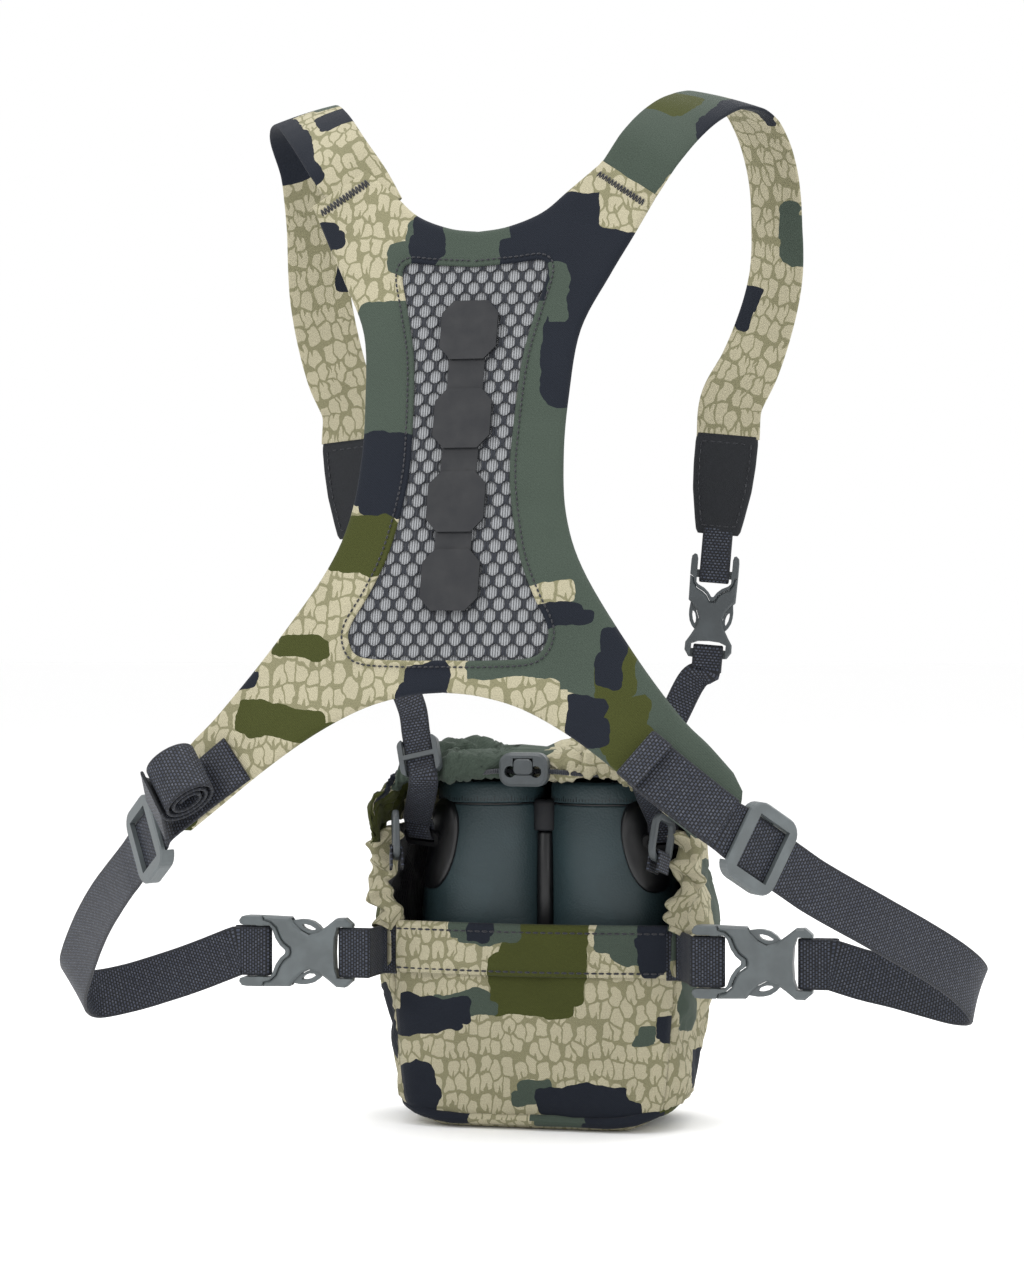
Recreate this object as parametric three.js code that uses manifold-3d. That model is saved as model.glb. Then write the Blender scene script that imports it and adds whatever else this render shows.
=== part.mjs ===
// Binocular harness pack: an X-shaped back yoke, two shoulder straps, two side straps and a
// hooded chest pouch that carries a pair of binoculars. Millimetres, +Z up.
// Everything is laid out with the pouch's flat underside at z = 0, the pouch's back panel on
// y = 0 and the wearer's midline on x = 0; the wearer stands between the yoke (-Y) and the
// pouch (+Y). One offset at the end moves the origin to the yoke's wearer-side face.
import * as THREE from 'three';
import { mergeVertices } from 'three/addons/utils/BufferGeometryUtils.js';
import ManifoldModule from 'manifold-3d';

const wasm = await ManifoldModule();
wasm.setup();

// ---- driving dimensions ----
const GAP = 0.35;                 // clearance between touching pieces

const YOKE_TOP_Z = 461;           // yoke height that the back surface is measured from
const YOKE_TOP_Y = -105;
const BACK_SLOPE = 0.31;          // how fast the back falls away below the shoulders
const BACK_CUP = 0.0006;          // how far the yoke wraps round the back, per mm squared
const WING_CURL_START = 95;
const WING_CURL = 0.006;          // extra forward curl of the wing tips
const SHELL_OUTER = -3;           // yoke layers, measured towards the wearer from the middle
const LINING_FACE = 3.2;
const MOUNT_Z = 345;              // height of the yoke's narrowest place

const BELT_WIDTH = 25;            // side strap webbing
const BELT_THICK = 1.6;
const DROP_WIDTH = 15;            // webbing between shoulder buckle and binoculars
const DROP_THICK = 1.4;
const SHOULDER_WIDTH = 32;
const SHOULDER_THICK = 2.6;

const POUCH_HALF = 80;            // half width of the pouch at its mouth
const POUCH_BASE_HALF = 70;
const POUCH_DEPTH = 78;
const POUCH_BACK_TOP = 104;
const POUCH_WALL_TOP = 150;
const WALL_THICK = 2.2;
const BAND_HALF = 75;             // half length of the band sewn across the back panel
const BAND_HEIGHT = 25;
const HOOD_RISE = 41;             // hood height above the wall's top edge

const BARREL_X = 30.2;
const BARREL_Y = 46;
const BARREL_TOP = 168;

const SIDE_BUCKLE_X = 117;
const SIDE_BUCKLE_Y = -20.5;      // the straps pull the buckles towards the wearer
const BELT_Z = 90;

// colour and roughness of each material
const COLOURS = {
  camo: [0x8f8d76, 0.9],
  lining: [0x3a3f40, 0.95],
  mesh: [0x9a9da0, 0.9],
  rubber: [0x35383b, 0.6],
  webbing: [0x343943, 0.85],
  buckle_grey: [0x6f767a, 0.5],
  dark_grey: [0x565c60, 0.5],
  leather: [0x2c3036, 0.6],
  armour: [0x2f4145, 0.7],
  black: [0x1b1d20, 0.5],
  cord: [0x30353c, 0.9],
};

const harness = new THREE.Group();

function add(name, colour, geometry, parent = harness) {
  const [color, roughness] = COLOURS[colour];
  const material = new THREE.MeshStandardMaterial({ color, roughness, metalness: 0 });
  const mesh = new THREE.Mesh(geometry, material);
  mesh.name = name;
  parent.add(mesh);
  return mesh;
}

// ---- small geometry helpers ----
const V = (x, y, z) => new THREE.Vector3(x, y, z);
const xz = (...pairs) => pairs.map(([x, y]) => new THREE.Vector2(x, y));
const spline = (pairs, steps) => new THREE.SplineCurve(xz(...pairs)).getPoints(steps);

function bare(geometry) {
  const plain = geometry.clone();
  for (const name of Object.keys(plain.attributes)) {
    if (name !== 'position') plain.deleteAttribute(name);
  }
  return mergeVertices(plain, 1e-4);
}

function signedVolume(geometry) {
  const p = geometry.attributes.position;
  const [a, b, c] = [V(), V(), V()];
  let volume = 0;
  for (let i = 0; i < geometry.index.count; i += 3) {
    a.fromBufferAttribute(p, geometry.index.getX(i));
    b.fromBufferAttribute(p, geometry.index.getX(i + 1));
    c.fromBufferAttribute(p, geometry.index.getX(i + 2));
    volume += a.dot(b.cross(c));
  }
  return volume;
}

function facingOut(geometry) {
  if (signedVolume(geometry) < 0) {
    const index = geometry.index.array;
    for (let i = 0; i < index.length; i += 3) [index[i], index[i + 1]] = [index[i + 1], index[i]];
  }
  return geometry;
}

function fromFaces(points, faces) {
  const geometry = new THREE.BufferGeometry().setFromPoints(points);
  geometry.setIndex(faces);
  return facingOut(bare(geometry));
}

function mirrored(geometry) {
  return facingOut(geometry.clone().scale(-1, 1, 1));
}

function solid(geometry) {
  const plain = facingOut(bare(geometry));
  return new wasm.Manifold(new wasm.Mesh({
    numProp: 3, vertProperties: new Float32Array(plain.attributes.position.array),
    triVerts: new Uint32Array(plain.index.array),
  }));
}

function geometryOf(manifold) {
  const mesh = manifold.getMesh();
  const geometry = new THREE.BufferGeometry();
  const places = new Float32Array(mesh.vertProperties);
  geometry.setAttribute('position', new THREE.BufferAttribute(places, 3));
  geometry.setIndex(new THREE.BufferAttribute(new Uint32Array(mesh.triVerts), 1));
  return geometry;
}

function cut(base, ...tools) {
  return geometryOf(tools.reduce((rest, tool) => rest.subtract(solid(tool)), solid(base)));
}

function join(...parts) {
  return geometryOf(parts.map(solid).reduce((whole, part) => whole.add(part)));
}

// A closed surface through rings of equal length; the ends are capped unless the loop closes.
function loft(rings, closed = false) {
  const n = rings[0].length;
  const points = rings.flat();
  const faces = [];
  const last = closed ? rings.length : rings.length - 1;
  for (let r = 0; r < last; r += 1) {
    const [here, next] = [r * n, ((r + 1) % rings.length) * n];
    for (let k = 0; k < n; k += 1) {
      const m = (k + 1) % n;
      faces.push(here + k, here + m, next + m, here + k, next + m, next + k);
    }
  }
  if (!closed) {
    for (const [base, flip] of [[0, true], [(rings.length - 1) * n, false]]) {
      for (let k = 1; k < n - 1; k += 1) {
        faces.push(...(flip ? [base, base + k + 1, base + k] : [base, base + k, base + k + 1]));
      }
    }
  }
  return fromFaces(points, faces);
}

// A thin shell from a grid of points: the second skin lies `thickness` away along the normals.
function shell(rows, thickness) {
  const [m, n] = [rows.length, rows[0].length];
  const clamp = (i, size) => Math.min(Math.max(i, 0), size - 1);
  const at = (i, j) => rows[clamp(i, m)][clamp(j, n)];
  const inner = rows.map((row, i) => row.map((p, j) => {
    const down = at(i + 1, j).clone().sub(at(i - 1, j));
    const across = at(i, j + 1).clone().sub(at(i, j - 1));
    return p.clone().addScaledVector(down.cross(across).normalize(), thickness);
  }));
  const points = [...rows.flat(), ...inner.flat()];
  const faces = [];
  const quad = (a, b, c, d) => faces.push(a, b, c, a, c, d);
  for (let i = 0; i < m - 1; i += 1) {
    for (let j = 0; j < n - 1; j += 1) {
      const [a, b, c, d] = [i * n + j, i * n + j + 1, (i + 1) * n + j + 1, (i + 1) * n + j];
      quad(a, b, c, d);
      quad(m * n + d, m * n + c, m * n + b, m * n + a);
    }
  }
  const rim = [];
  for (let j = 0; j < n - 1; j += 1) rim.push(j);
  for (let i = 0; i < m - 1; i += 1) rim.push(i * n + n - 1);
  for (let j = n - 1; j > 0; j -= 1) rim.push((m - 1) * n + j);
  for (let i = m - 1; i > 0; i -= 1) rim.push(i * n);
  rim.forEach((a, k) => {
    const b = rim[(k + 1) % rim.length];
    quad(b, a, m * n + a, m * n + b);
  });
  return fromFaces(points, faces);
}

// A strap: each station gives its centre, the direction across it and its width.
function ribbon(stations, thickness) {
  const rings = stations.map(({ p, across, width }, i) => {
    const before = stations[Math.max(i - 1, 0)].p;
    const after = stations[Math.min(i + 1, stations.length - 1)].p;
    const along = after.clone().sub(before).normalize();
    const side = across.clone().addScaledVector(along, -across.dot(along)).normalize();
    const out = along.clone().cross(side);
    return [[-1, -1], [1, -1], [1, 1], [-1, 1]].map(([s, t]) => p.clone()
      .addScaledVector(side, s * width / 2).addScaledVector(out, t * thickness / 2));
  });
  return loft(rings);
}

// Smooths a list of strap stations into `steps` pieces.
function smooth(stations, steps) {
  const path = new THREE.CatmullRomCurve3(stations.map((s) => s.p), false, 'centripetal');
  const turn = new THREE.CatmullRomCurve3(stations.map((s) => s.across), false, 'centripetal');
  return Array.from({ length: steps + 1 }, (_, i) => {
    const t = i / steps;
    const place = t * (stations.length - 1);
    const k = Math.min(Math.floor(place), stations.length - 2);
    const width = THREE.MathUtils.lerp(stations[k].width, stations[k + 1].width, place - k);
    return { p: path.getPoint(t), across: turn.getPoint(t), width };
  });
}

const station = (p, across, width) => ({ p: V(...p), across: V(...across), width });

function tube(points, radius, sides, closed = false) {
  const curve = new THREE.CatmullRomCurve3(points, closed, 'centripetal');
  const steps = points.length * (closed ? 1 : 2);
  const frames = curve.computeFrenetFrames(steps, closed);
  const rings = Array.from({ length: closed ? steps : steps + 1 }, (_, i) => {
    const centre = curve.getPointAt(i / steps);
    return Array.from({ length: sides }, (__, k) => {
      const a = (k / sides) * 2 * Math.PI;
      return centre.clone().addScaledVector(frames.normals[i], Math.cos(a) * radius)
        .addScaledVector(frames.binormals[i], Math.sin(a) * radius);
    });
  });
  return loft(rings, closed);
}

function outline(points) {
  return new THREE.Shape(THREE.ShapeUtils.isClockWise(points) ? [...points].reverse() : points);
}

// The right half of a left-right symmetric outline, from the top middle to the bottom middle.
function symmetric(right) {
  const left = right.filter((p) => p.x > 1e-6).reverse().map((p) => new THREE.Vector2(-p.x, p.y));
  return outline([...right, ...left]);
}

// Flat plate lying in X-Y, its thickness centred on z = 0, with softened edges.
function plate(shape, thickness, bevel = 0, steps = 1, curveSegments = 4) {
  const geometry = new THREE.ExtrudeGeometry(shape, {
    depth: thickness - 2 * bevel, bevelEnabled: bevel > 0, bevelThickness: bevel, bevelSize: bevel,
    bevelOffset: -bevel, bevelSegments: steps, curveSegments,
  });
  return geometry.translate(0, 0, bevel - thickness / 2);
}

function roundedRect(width, height, radius, shape = new THREE.Shape()) {
  const [a, b, r] = [width / 2, height / 2, radius];
  shape.moveTo(a, -b + r);
  shape.absarc(a - r, b - r, r, 0, Math.PI / 2);
  shape.absarc(-a + r, b - r, r, Math.PI / 2, Math.PI);
  shape.absarc(-a + r, -b + r, r, Math.PI, 1.5 * Math.PI);
  shape.absarc(a - r, -b + r, r, 1.5 * Math.PI, 2 * Math.PI);
  return shape;
}

const block = (x, y, z, w, d, h) => new THREE.BoxGeometry(w, d, h).translate(x, y, z);

// A local frame for hardware: X along the webbing, Y across it, Z out of its face.
class Frame {
  constructor(centre, along, out) {
    this.centre = V(...centre);
    this.along = V(...along).normalize();
    this.out = V(...out);
    this.out.addScaledVector(this.along, -this.out.dot(this.along)).normalize();
    this.across = this.out.clone().cross(this.along);
  }

  at(x, y, z) {
    return this.centre.clone().addScaledVector(this.along, x)
      .addScaledVector(this.across, y).addScaledVector(this.out, z);
  }

  place(mesh) {
    mesh.position.copy(this.centre);
    const turn = new THREE.Matrix4().makeBasis(this.along, this.across, this.out);
    mesh.quaternion.setFromRotationMatrix(turn);
    return mesh;
  }
}

const FRAME_KEYS = ['centre', 'along', 'out'];
const SIDES = [['left', -1], ['right', 1]];
const onSide = (side, [x, y, z]) => [side * x, y, z];

// ---- the back yoke ----
function backY(x, z) {
  const curl = Math.max(0, Math.abs(x) - WING_CURL_START);
  return YOKE_TOP_Y - BACK_SLOPE * (YOKE_TOP_Z - z) + BACK_CUP * x * x + WING_CURL * curl * curl;
}

// Splits every triangle along the planes x = c, so that a flat plate can bend there.
function creased(geometry, planes) {
  const p = bare(geometry).toNonIndexed().attributes.position;
  let triangles = Array.from({ length: p.count / 3 }, (_, i) => [0, 1, 2]
    .map((k) => V().fromBufferAttribute(p, 3 * i + k)));
  for (const c of planes) {
    const crossing = (a, b) => {
      const [low, high] = a.x < b.x ? [a, b] : [b, a];
      return low.clone().lerp(high, (c - low.x) / (high.x - low.x)).setX(c);
    };
    triangles = triangles.flatMap((t) => {
      const side = t.map((v) => (Math.abs(v.x - c) < 1e-4 ? 0 : Math.sign(v.x - c)));
      if (!side.includes(1) || !side.includes(-1)) return [t];
      const lone = side.findIndex((s, k) => s !== 0 && !side.some((o, m) => m !== k && o === s));
      const [u, v, w] = [t[lone], t[(lone + 1) % 3], t[(lone + 2) % 3]];
      const [sv, sw] = [side[(lone + 1) % 3], side[(lone + 2) % 3]];
      if (sv === 0) return [[u, v, crossing(u, w)], [crossing(u, w), v, w]];
      if (sw === 0) return [[u, crossing(u, v), w], [crossing(u, v), v, w]];
      const [m, n] = [crossing(u, v), crossing(u, w)];
      return [[u, m, n], [m, v, w], [m, w, n]];
    });
  }
  return new THREE.BufferGeometry().setFromPoints(triangles.flat());
}

// Bends a flat X-Z shape to the back: `near` and `far` are its two faces, counted towards the wearer.
function onBack(flat, near, far) {
  const mid = (near + far) / 2;
  const bends = [32, 64, ...[0, 1, 2].map((k) => WING_CURL_START + 15 * k)];
  const fine = creased(flat, [0, ...bends, ...bends.map((x) => -x)]);
  const p = fine.attributes.position;
  for (let i = 0; i < p.count; i += 1) {
    const [x, z, t] = [p.getX(i), p.getY(i), mid - p.getZ(i)];
    p.setXYZ(i, x, backY(x, z) + t, z);
  }
  return facingOut(bare(fine));
}

function yokeOutline() {
  const neck = spline([[0, 441], [14, 443], [30, 449.5], [42, 460], [57.5, 474]], 5);
  const flank = spline([[83.8, 456.5], [74, 437], [64, 418], [52, 392], [48.5, 360], [48, 333],
    [51, 305], [61, 279], [85, 243], [107, 215], [120, 202], [130.5, 190]], 13);
  const tip = [[134.5, 182], [133.5, 174], [127.5, 166.5], [121, 162]].map((p) => new THREE.Vector2(...p));
  const arch = spline([[116, 162], [102, 173], [80, 191], [58, 206.5], [36, 218], [16, 223.5],
    [0, 225]], 6);
  return [...neck, ...flank, ...tip, ...arch];
}

function windowOutline(inset) {
  const edge = spline([[0, 423.5], [20, 425], [32, 426], [35, 420], [31, 403], [26, 380], [24, 350],
    [24, 322], [30, 290], [38, 270], [45.5, 256], [46, 248], [40, 241], [20, 239.5], [0, 239.5]], 16);
  const middle = new THREE.Vector2(0, 332);
  return edge.map((p) => {
    const toMiddle = middle.clone().sub(p);
    const x = Math.max(p.x - (p.x > 1e-6 ? inset : 0), 0);
    return new THREE.Vector2(x, p.y + Math.sign(toMiddle.y) * inset);
  });
}

function buildYoke() {
  const cover = symmetric(yokeOutline());
  cover.holes.push(symmetric(windowOutline(0)));
  const coverThick = -0.25 - SHELL_OUTER;
  add('yoke_shell', 'camo', onBack(plate(cover, coverThick), SHELL_OUTER, -0.25));
  const lining = plate(symmetric(yokeOutline()), LINING_FACE - 0.25);
  add('yoke_lining', 'lining', onBack(lining, 0.25, LINING_FACE));
  add('yoke_mesh', 'mesh', onBack(plate(symmetric(windowOutline(0.5)), 1.8), -2.05, -0.25));
  const strip = block(0, 334.5, -0.65, 17, 142, 0.7);
  const pads = [393, 351, 312, 276].map((z) => plate(padShape(), 2).translate(0, z, 0));
  add('yoke_emblem', 'rubber', onBack(join(strip, ...pads), -4.4, -2.4));
}

// Raised rubber pad: a plain lozenge with clipped corners.
function padShape() {
  return symmetric(xz([0, 14], [8, 14], [13.5, 8], [13.5, -8], [8, -14], [0, -14]));
}

// ---- shoulder straps ----
const strapSeat = (x, z) => [x, backY(x, z) + SHELL_OUTER - GAP - SHOULDER_THICK / 2 - 0.3, z];

function shoulderStations() {
  const sewn = [0.83, -0.1, -0.55];
  return [
    [strapSeat(62.9, 453.4), sewn], [strapSeat(70.6, 465.2), sewn], [[79.5, -98.5, 479.5], sewn],
    [[91, -79, 497.5], [0.84, -0.2, -0.45]], [[105, -46, 510.5], [0.85, -0.41, -0.33]],
    [[115.5, -20, 507], [0.85, -0.48, -0.2]], [[121.5, -2, 491], [0.85, -0.52, -0.1]],
    [[124.5, 8, 465], [0.85, -0.53, 0]], [[122.5, 13, 425], [0.9, -0.4, 0]],
    [[110.5, 15, 388], [0.97, -0.15, 0.05]], [[100.6, 15.2, 368], [0.98, 0.05, -0.1]],
    [[99.2, 15, 353.2], [0.98, 0.05, -0.1]],
  ].map(([p, across]) => station(p, across, SHOULDER_WIDTH));
}

const TAB_TOP = [98.9, 15, 352.2];
const TAB_FOOT = [94.2, 13, 302];
const SHOULDER_BUCKLE = { centre: [91.5, 10.5, 265.5], along: [-4, -3, -52], out: [0.12, -1, 0.05] };

function buildShoulderStrap(name, side) {
  const flip = (geometry) => (side > 0 ? geometry : mirrored(geometry));
  add(`shoulder_strap_${name}`, 'camo', flip(ribbon(smooth(shoulderStations(), 24), SHOULDER_THICK)));
  const across = [0.98, 0.05, -0.1];
  const tab = [[0, 31], [0.25, 31.5], [0.55, 30], [0.85, 25], [1, 22]].map(([t, width]) => ({
    p: V(...TAB_TOP).lerp(V(...TAB_FOOT), t), across: V(...across), width,
  }));
  add(`strap_tab_${name}`, 'leather', flip(ribbon(tab, 4)));
}

// ---- side-release buckles ----
// Half outlines in the buckle's own frame: the plug is at -X, the socket at +X, the middle on y = 0.
const BUCKLE_THICK = 8;
const CAVITY_HALF = 16.9;
const CAVITY_HEIGHT = 4.8;
const PRONG_THICK = 4;
const WEB_BAR_HALF = 13.1;        // half length of the bars that the webbing folds round
const PLUG_BAR = -16.5;           // edge of the plug's web bar
const SOCKET_BAR = 24.8;          // edge of the socket's web bar
const BAR_HALF = 1.3;             // half thickness of both bars
const BUCKLE_MOUTH = [
  [-17.5, 18], [-16.6, 15.6], [-13.2, 14.8], [-10.2, 12.2], [-8.2, 7.4], [-6.2, 4.4], [-2.9, 2],
  [-2.4, 0],
];
const SOCKET_SIDE = [
  [-3, 17.6], [-1, 14.6], [3, 10.8], [7, 8.8], [12, 10.2], [17, 13.8], [21.5, 17.4], [26, 17.6],
  [29.6, 14.5], [30, 10],
];

function mirrorY(half) {
  const other = half.filter(([, y]) => y > 1e-6).reverse();
  return [...half, ...other.map(([x, y]) => [x, -y])];
}

// Two cutters that thin a web bar down to its half thickness on both faces.
function barCutters(x, width) {
  const depth = 4;
  return [1, -1].map((s) => block(x, 0, s * (BAR_HALF + depth / 2), width, 2 * WEB_BAR_HALF, depth));
}

const shifted = (points, dx) => points.map(([x, y]) => [x + dx, y]);

function socketGeometry() {
  const body = outline(xz(...mirrorY([[30, 0], ...[...SOCKET_SIDE].reverse(), ...BUCKLE_MOUTH])));
  const slot = [[20, 0], [20.4, 8], [22, WEB_BAR_HALF], [SOCKET_BAR, WEB_BAR_HALF], [SOCKET_BAR, 0]];
  return cut(
    plate(body, BUCKLE_THICK, 1.1),
    block(-11.5, 0, 0, 57, 2 * CAVITY_HALF, CAVITY_HEIGHT),
    plate(outline(xz(...mirrorY(slot))), BUCKLE_THICK + 4),
    ...barCutters(28, 6.4),
  );
}

function plugGeometry() {
  const edge = shifted(BUCKLE_MOUTH, -0.45);
  const arms = [[-21, 13.2], [-27.5, 13.2], [-29.6, 14], [-30, 15.6], [-28.6, 17.6], [-26, 18]];
  const body = outline(xz(...mirrorY([[-21, 0], ...arms, ...edge])));
  const inside = [[PLUG_BAR, 13.2], [-13.8, 13.1], [-12.3, 11.3], [-10.5, 6.6], [-8.2, 3.2], [-5.6, 0.9]];
  body.holes.push(outline(xz(...mirrorY([[PLUG_BAR, 0], ...inside, [-5.4, 0]]))));
  const guide = block(1.4, 0, 0, 9, 8, PRONG_THICK);
  return cut(join(plate(body, BUCKLE_THICK, 0.5), guide), ...barCutters(-19.5, 6.2));
}

// One sprung side arm with its open, bowed catch; `side` is +1 or -1 across the buckle.
function prongGeometry(side) {
  const bow = spline([[-10.6, 15.9], [-5, 15.6], [0, 16.2], [4, 16.6], [9, 15.6], [13, 12.6],
    [14.6, 9.6]], 9);
  const back = spline([[13.4, 8.6], [8, 8.8], [2.6, 11.4], [-4, 13.2], [-10, 13.6]], 6);
  const arm = outline([...bow, ...back]);
  const eye = spline([[3, 14], [6.6, 13.9], [10.6, 11.6], [7.6, 10.9], [4, 12.2], [3, 14]], 8);
  arm.holes.push(outline(eye.slice(0, -1)));
  const flat = plate(arm, PRONG_THICK);
  return side > 0 ? flat : facingOut(bare(flat).scale(1, -1, 1));
}

const SMALL = [0.87, 0.67, 0.75]; // the shoulder buckle next to the side buckle
const small = (geometry) => bare(geometry).scale(...SMALL);

function smallPlug() {
  const root = [1, -1].map((s) => block(-11.6, s * 14, 0, 4, 2.2, 3.6));
  return small(join(plugGeometry(), ...root, prongGeometry(1), prongGeometry(-1)));
}

// Webbing that wraps a bar: in past the bar on one face, round it, and back on the other.
function wrap(frame, { edge, half, dir, reach, width, thick }) {
  const h = half + GAP + thick / 2;
  const centre = edge + dir * 0.35 * half;
  const turns = Array.from({ length: 7 }, (_, i) => -Math.PI / 2 + (i / 6) * Math.PI);
  const fold = turns.map((a) => [centre - dir * h * Math.cos(a), h * Math.sin(a)]);
  const path = [[centre + dir * reach, -h], ...fold, [centre + dir * reach, h]];
  return path.map(([x, z]) => ({ p: frame.at(x, 0, z), across: frame.across, width }));
}

function buildSideBuckle(name, side) {
  const frame = new Frame([side * SIDE_BUCKLE_X, SIDE_BUCKLE_Y, BELT_Z], [1, 0, 0], [0, -1, 0]);
  frame.place(add(`side_buckle_plug_${name}`, 'buckle_grey', plugGeometry()));
  frame.place(add(`side_buckle_prong_a_${name}`, 'buckle_grey', prongGeometry(1)));
  frame.place(add(`side_buckle_prong_b_${name}`, 'buckle_grey', prongGeometry(-1)));
  frame.place(add(`side_buckle_socket_${name}`, 'buckle_grey', socketGeometry()));

  // The half nearer the pouch holds the pouch's band, the other half holds the side strap:
  // on the left the socket is the pouch's, on the right the plug is.
  const belt = { half: BAR_HALF, width: BELT_WIDTH, thick: BELT_THICK };
  const socket = { edge: SOCKET_BAR, dir: 1, ...belt };
  const plug = { edge: PLUG_BAR, dir: -1, ...belt };
  const [inner, outer] = name === 'left' ? [socket, plug] : [plug, socket];
  const tail = wrap(frame, { ...inner, reach: 13 });
  const front = tail.pop();
  const seat = V(side * (BAND_HALF + 1.2), panelY(BAND_HALF, BELT_Z) - 2.2, BELT_Z);
  const towards = front.p.clone().lerp(seat, 0.5).add(V(side * 0.5, 1.5, 0));
  const leadIn = [front, ...[towards, seat].map((p) => ({ ...front, p }))];
  add(`band_tail_${name}`, 'webbing', ribbon([...tail, ...smooth(leadIn, 6)], BELT_THICK));
  const hairpin = wrap(frame, { ...outer, reach: 26 });
  add(`buckle_web_${name}`, 'webbing', ribbon(hairpin, BELT_THICK));
}

// ---- webbing sliders: two end bars in front of the webbing, the middle bar behind it ----
function sliderGeometry(webWidth, thick, length, rail, bars) {
  const inner = webWidth + 0.9;
  const slot = thick + 2 * GAP;
  const height = slot + 2 * bars;
  const ring = plate(roundedRect(length, inner + 2 * rail, rail * 1.4), height, rail / 8, 1, 3);
  const face = (height + slot) / 4;
  const middle = rail * 0.9;
  const open = (length - middle) / 2;
  const past = 2;                 // the cutters run this far beyond the ring
  const deep = bars + past;
  const behind = [1, -1].map((s) => (
    block(s * (open + middle + past) / 2, 0, -face - past / 2, open + past, inner, deep)
  ));
  return cut(
    ring,
    block(0, 0, 0, length + past, inner, slot),
    block(0, 0, face + past / 2, length - 2 * rail, inner, deep),
    ...behind,
  );
}

// ---- side straps ----
const WING_START = [94, 195];
const WING_DIR = [0.787, -0.617];
const STRAP_SEAT = -4.9;          // strap centre, in front of the yoke's middle layer
const SLIDER_DIR = [0.581, 0.642, -0.5];
const SLIDER_ACROSS = [0.4, 0.36, 0.84];
const TIP_LENGTH = 46;            // webbing lying on the wing
const SLIDER_FROM_TIP = 19.5;
const ROLL_RADIUS = 13.5;         // spare webbing rolled up on the left wing

// Each side's webbing after its slider: points, and the direction across the webbing there.
const SIDE_LOOPS = {
  left: [
    [[186, -118, 119], [0.45, 0.2, 0.87]], [[207, -88, 97], [0.5, 0.05, 0.86]],
    [[222, -62, 77], [0.53, 0, 0.85]], [[225, -48, 70], [0.5, 0, 0.87]], [[220, -32, 67], [0.3, 0, 0.95]],
    [[206, -19, 69.5], [0.1, 0, 1]], [[188, -15.2, 75], [0, 0, 1]], [[170, -15.2, 80.5], [0, 0, 1]],
    [[150.5, -15.2, 85.5], [0, 0, 1]],
  ],
  right: [
    [[186, -122, 122], [0.32, 0.25, 0.91]], [[207, -94, 105], [0.3, 0.12, 0.94]],
    [[223, -68, 88], [0.3, 0, 0.95]], [[228, -52, 80], [0.28, 0, 0.96]], [[223, -34, 77], [0.2, 0, 0.98]],
    [[208, -20, 78.5], [0.1, 0, 1]], [[190, -15.2, 81.5], [0, 0, 1]], [[172, -15.2, 85], [0, 0, 1]],
    [[150.5, -15.2, 88.5], [0, 0, 1]],
  ],
};

function onWing(distance, lift = 0) {
  const [x, z] = [WING_START[0] + WING_DIR[0] * distance, WING_START[1] + WING_DIR[1] * distance];
  const e = 0.5;
  const slopeX = (backY(x + e, z) - backY(x - e, z)) / (2 * e);
  const out = V(slopeX, -1, BACK_SLOPE).normalize();
  const along = V(WING_DIR[0], WING_DIR[0] * slopeX + WING_DIR[1] * BACK_SLOPE, WING_DIR[1]).normalize();
  const p = V(x, backY(x, z) + STRAP_SEAT, z).addScaledVector(out, lift);
  return { p, across: out.cross(along), width: BELT_WIDTH };
}

const afterTip = (distance) => onWing(TIP_LENGTH).p.addScaledVector(V(...SLIDER_DIR).normalize(), distance);

function sideStrapStations(name) {
  const wing = [0, 12, 24, 35, TIP_LENGTH].map((d) => onWing(d));
  const across = V(...SLIDER_ACROSS);
  const straight = [4, 14, 30, 44, 56].map((d) => ({ p: afterTip(d), across, width: BELT_WIDTH }));
  const free = SIDE_LOOPS[name].map(([p, turn]) => station(p, turn, BELT_WIDTH));
  return smooth([...wing, ...straight, ...free], 44);
}

function sliderFrame(side) {
  const centre = afterTip(SLIDER_FROM_TIP);
  const along = V(...SLIDER_DIR);
  const out = along.clone().cross(V(...SLIDER_ACROSS));
  return new Frame(...[centre, along, out].map((v) => onSide(side, v.toArray())));
}

function buildSideStrap(name, side) {
  const flip = (geometry) => (side > 0 ? geometry : mirrored(geometry));
  add(`side_strap_${name}`, 'webbing', flip(ribbon(sideStrapStations(name), BELT_THICK)));
  const slider = sliderGeometry(BELT_WIDTH, BELT_THICK, 30, 5.6, 2.4);
  sliderFrame(side).place(add(`slider_${name}`, 'buckle_grey', slider));
}

// The spare webbing: flat along the right wing, rolled up on the left wing.
function buildSpareWebbing() {
  const lift = BELT_THICK + GAP + 0.15;
  const flat = [-4, 6, 16, 26, 35, 42].map((d) => onWing(d, lift));
  add('strap_tail_right', 'webbing', ribbon(smooth(flat, 10), BELT_THICK));
  const rise = ROLL_RADIUS + 2.1;
  const seat = onWing(23, rise);
  const axis = seat.across.clone().normalize();
  const out = seat.p.clone().sub(onWing(23, rise - 1).p).normalize();
  const along = axis.clone().cross(out);
  const ring = (end) => Array.from({ length: 18 }, (_, k) => {
    const a = (k / 18) * 2 * Math.PI;
    return seat.p.clone().addScaledVector(axis, end * BELT_WIDTH / 2)
      .addScaledVector(along, ROLL_RADIUS * Math.cos(a)).addScaledVector(out, ROLL_RADIUS * Math.sin(a));
  });
  add('strap_roll_left', 'webbing', mirrored(loft([ring(-1), ring(1)])));
}

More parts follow.
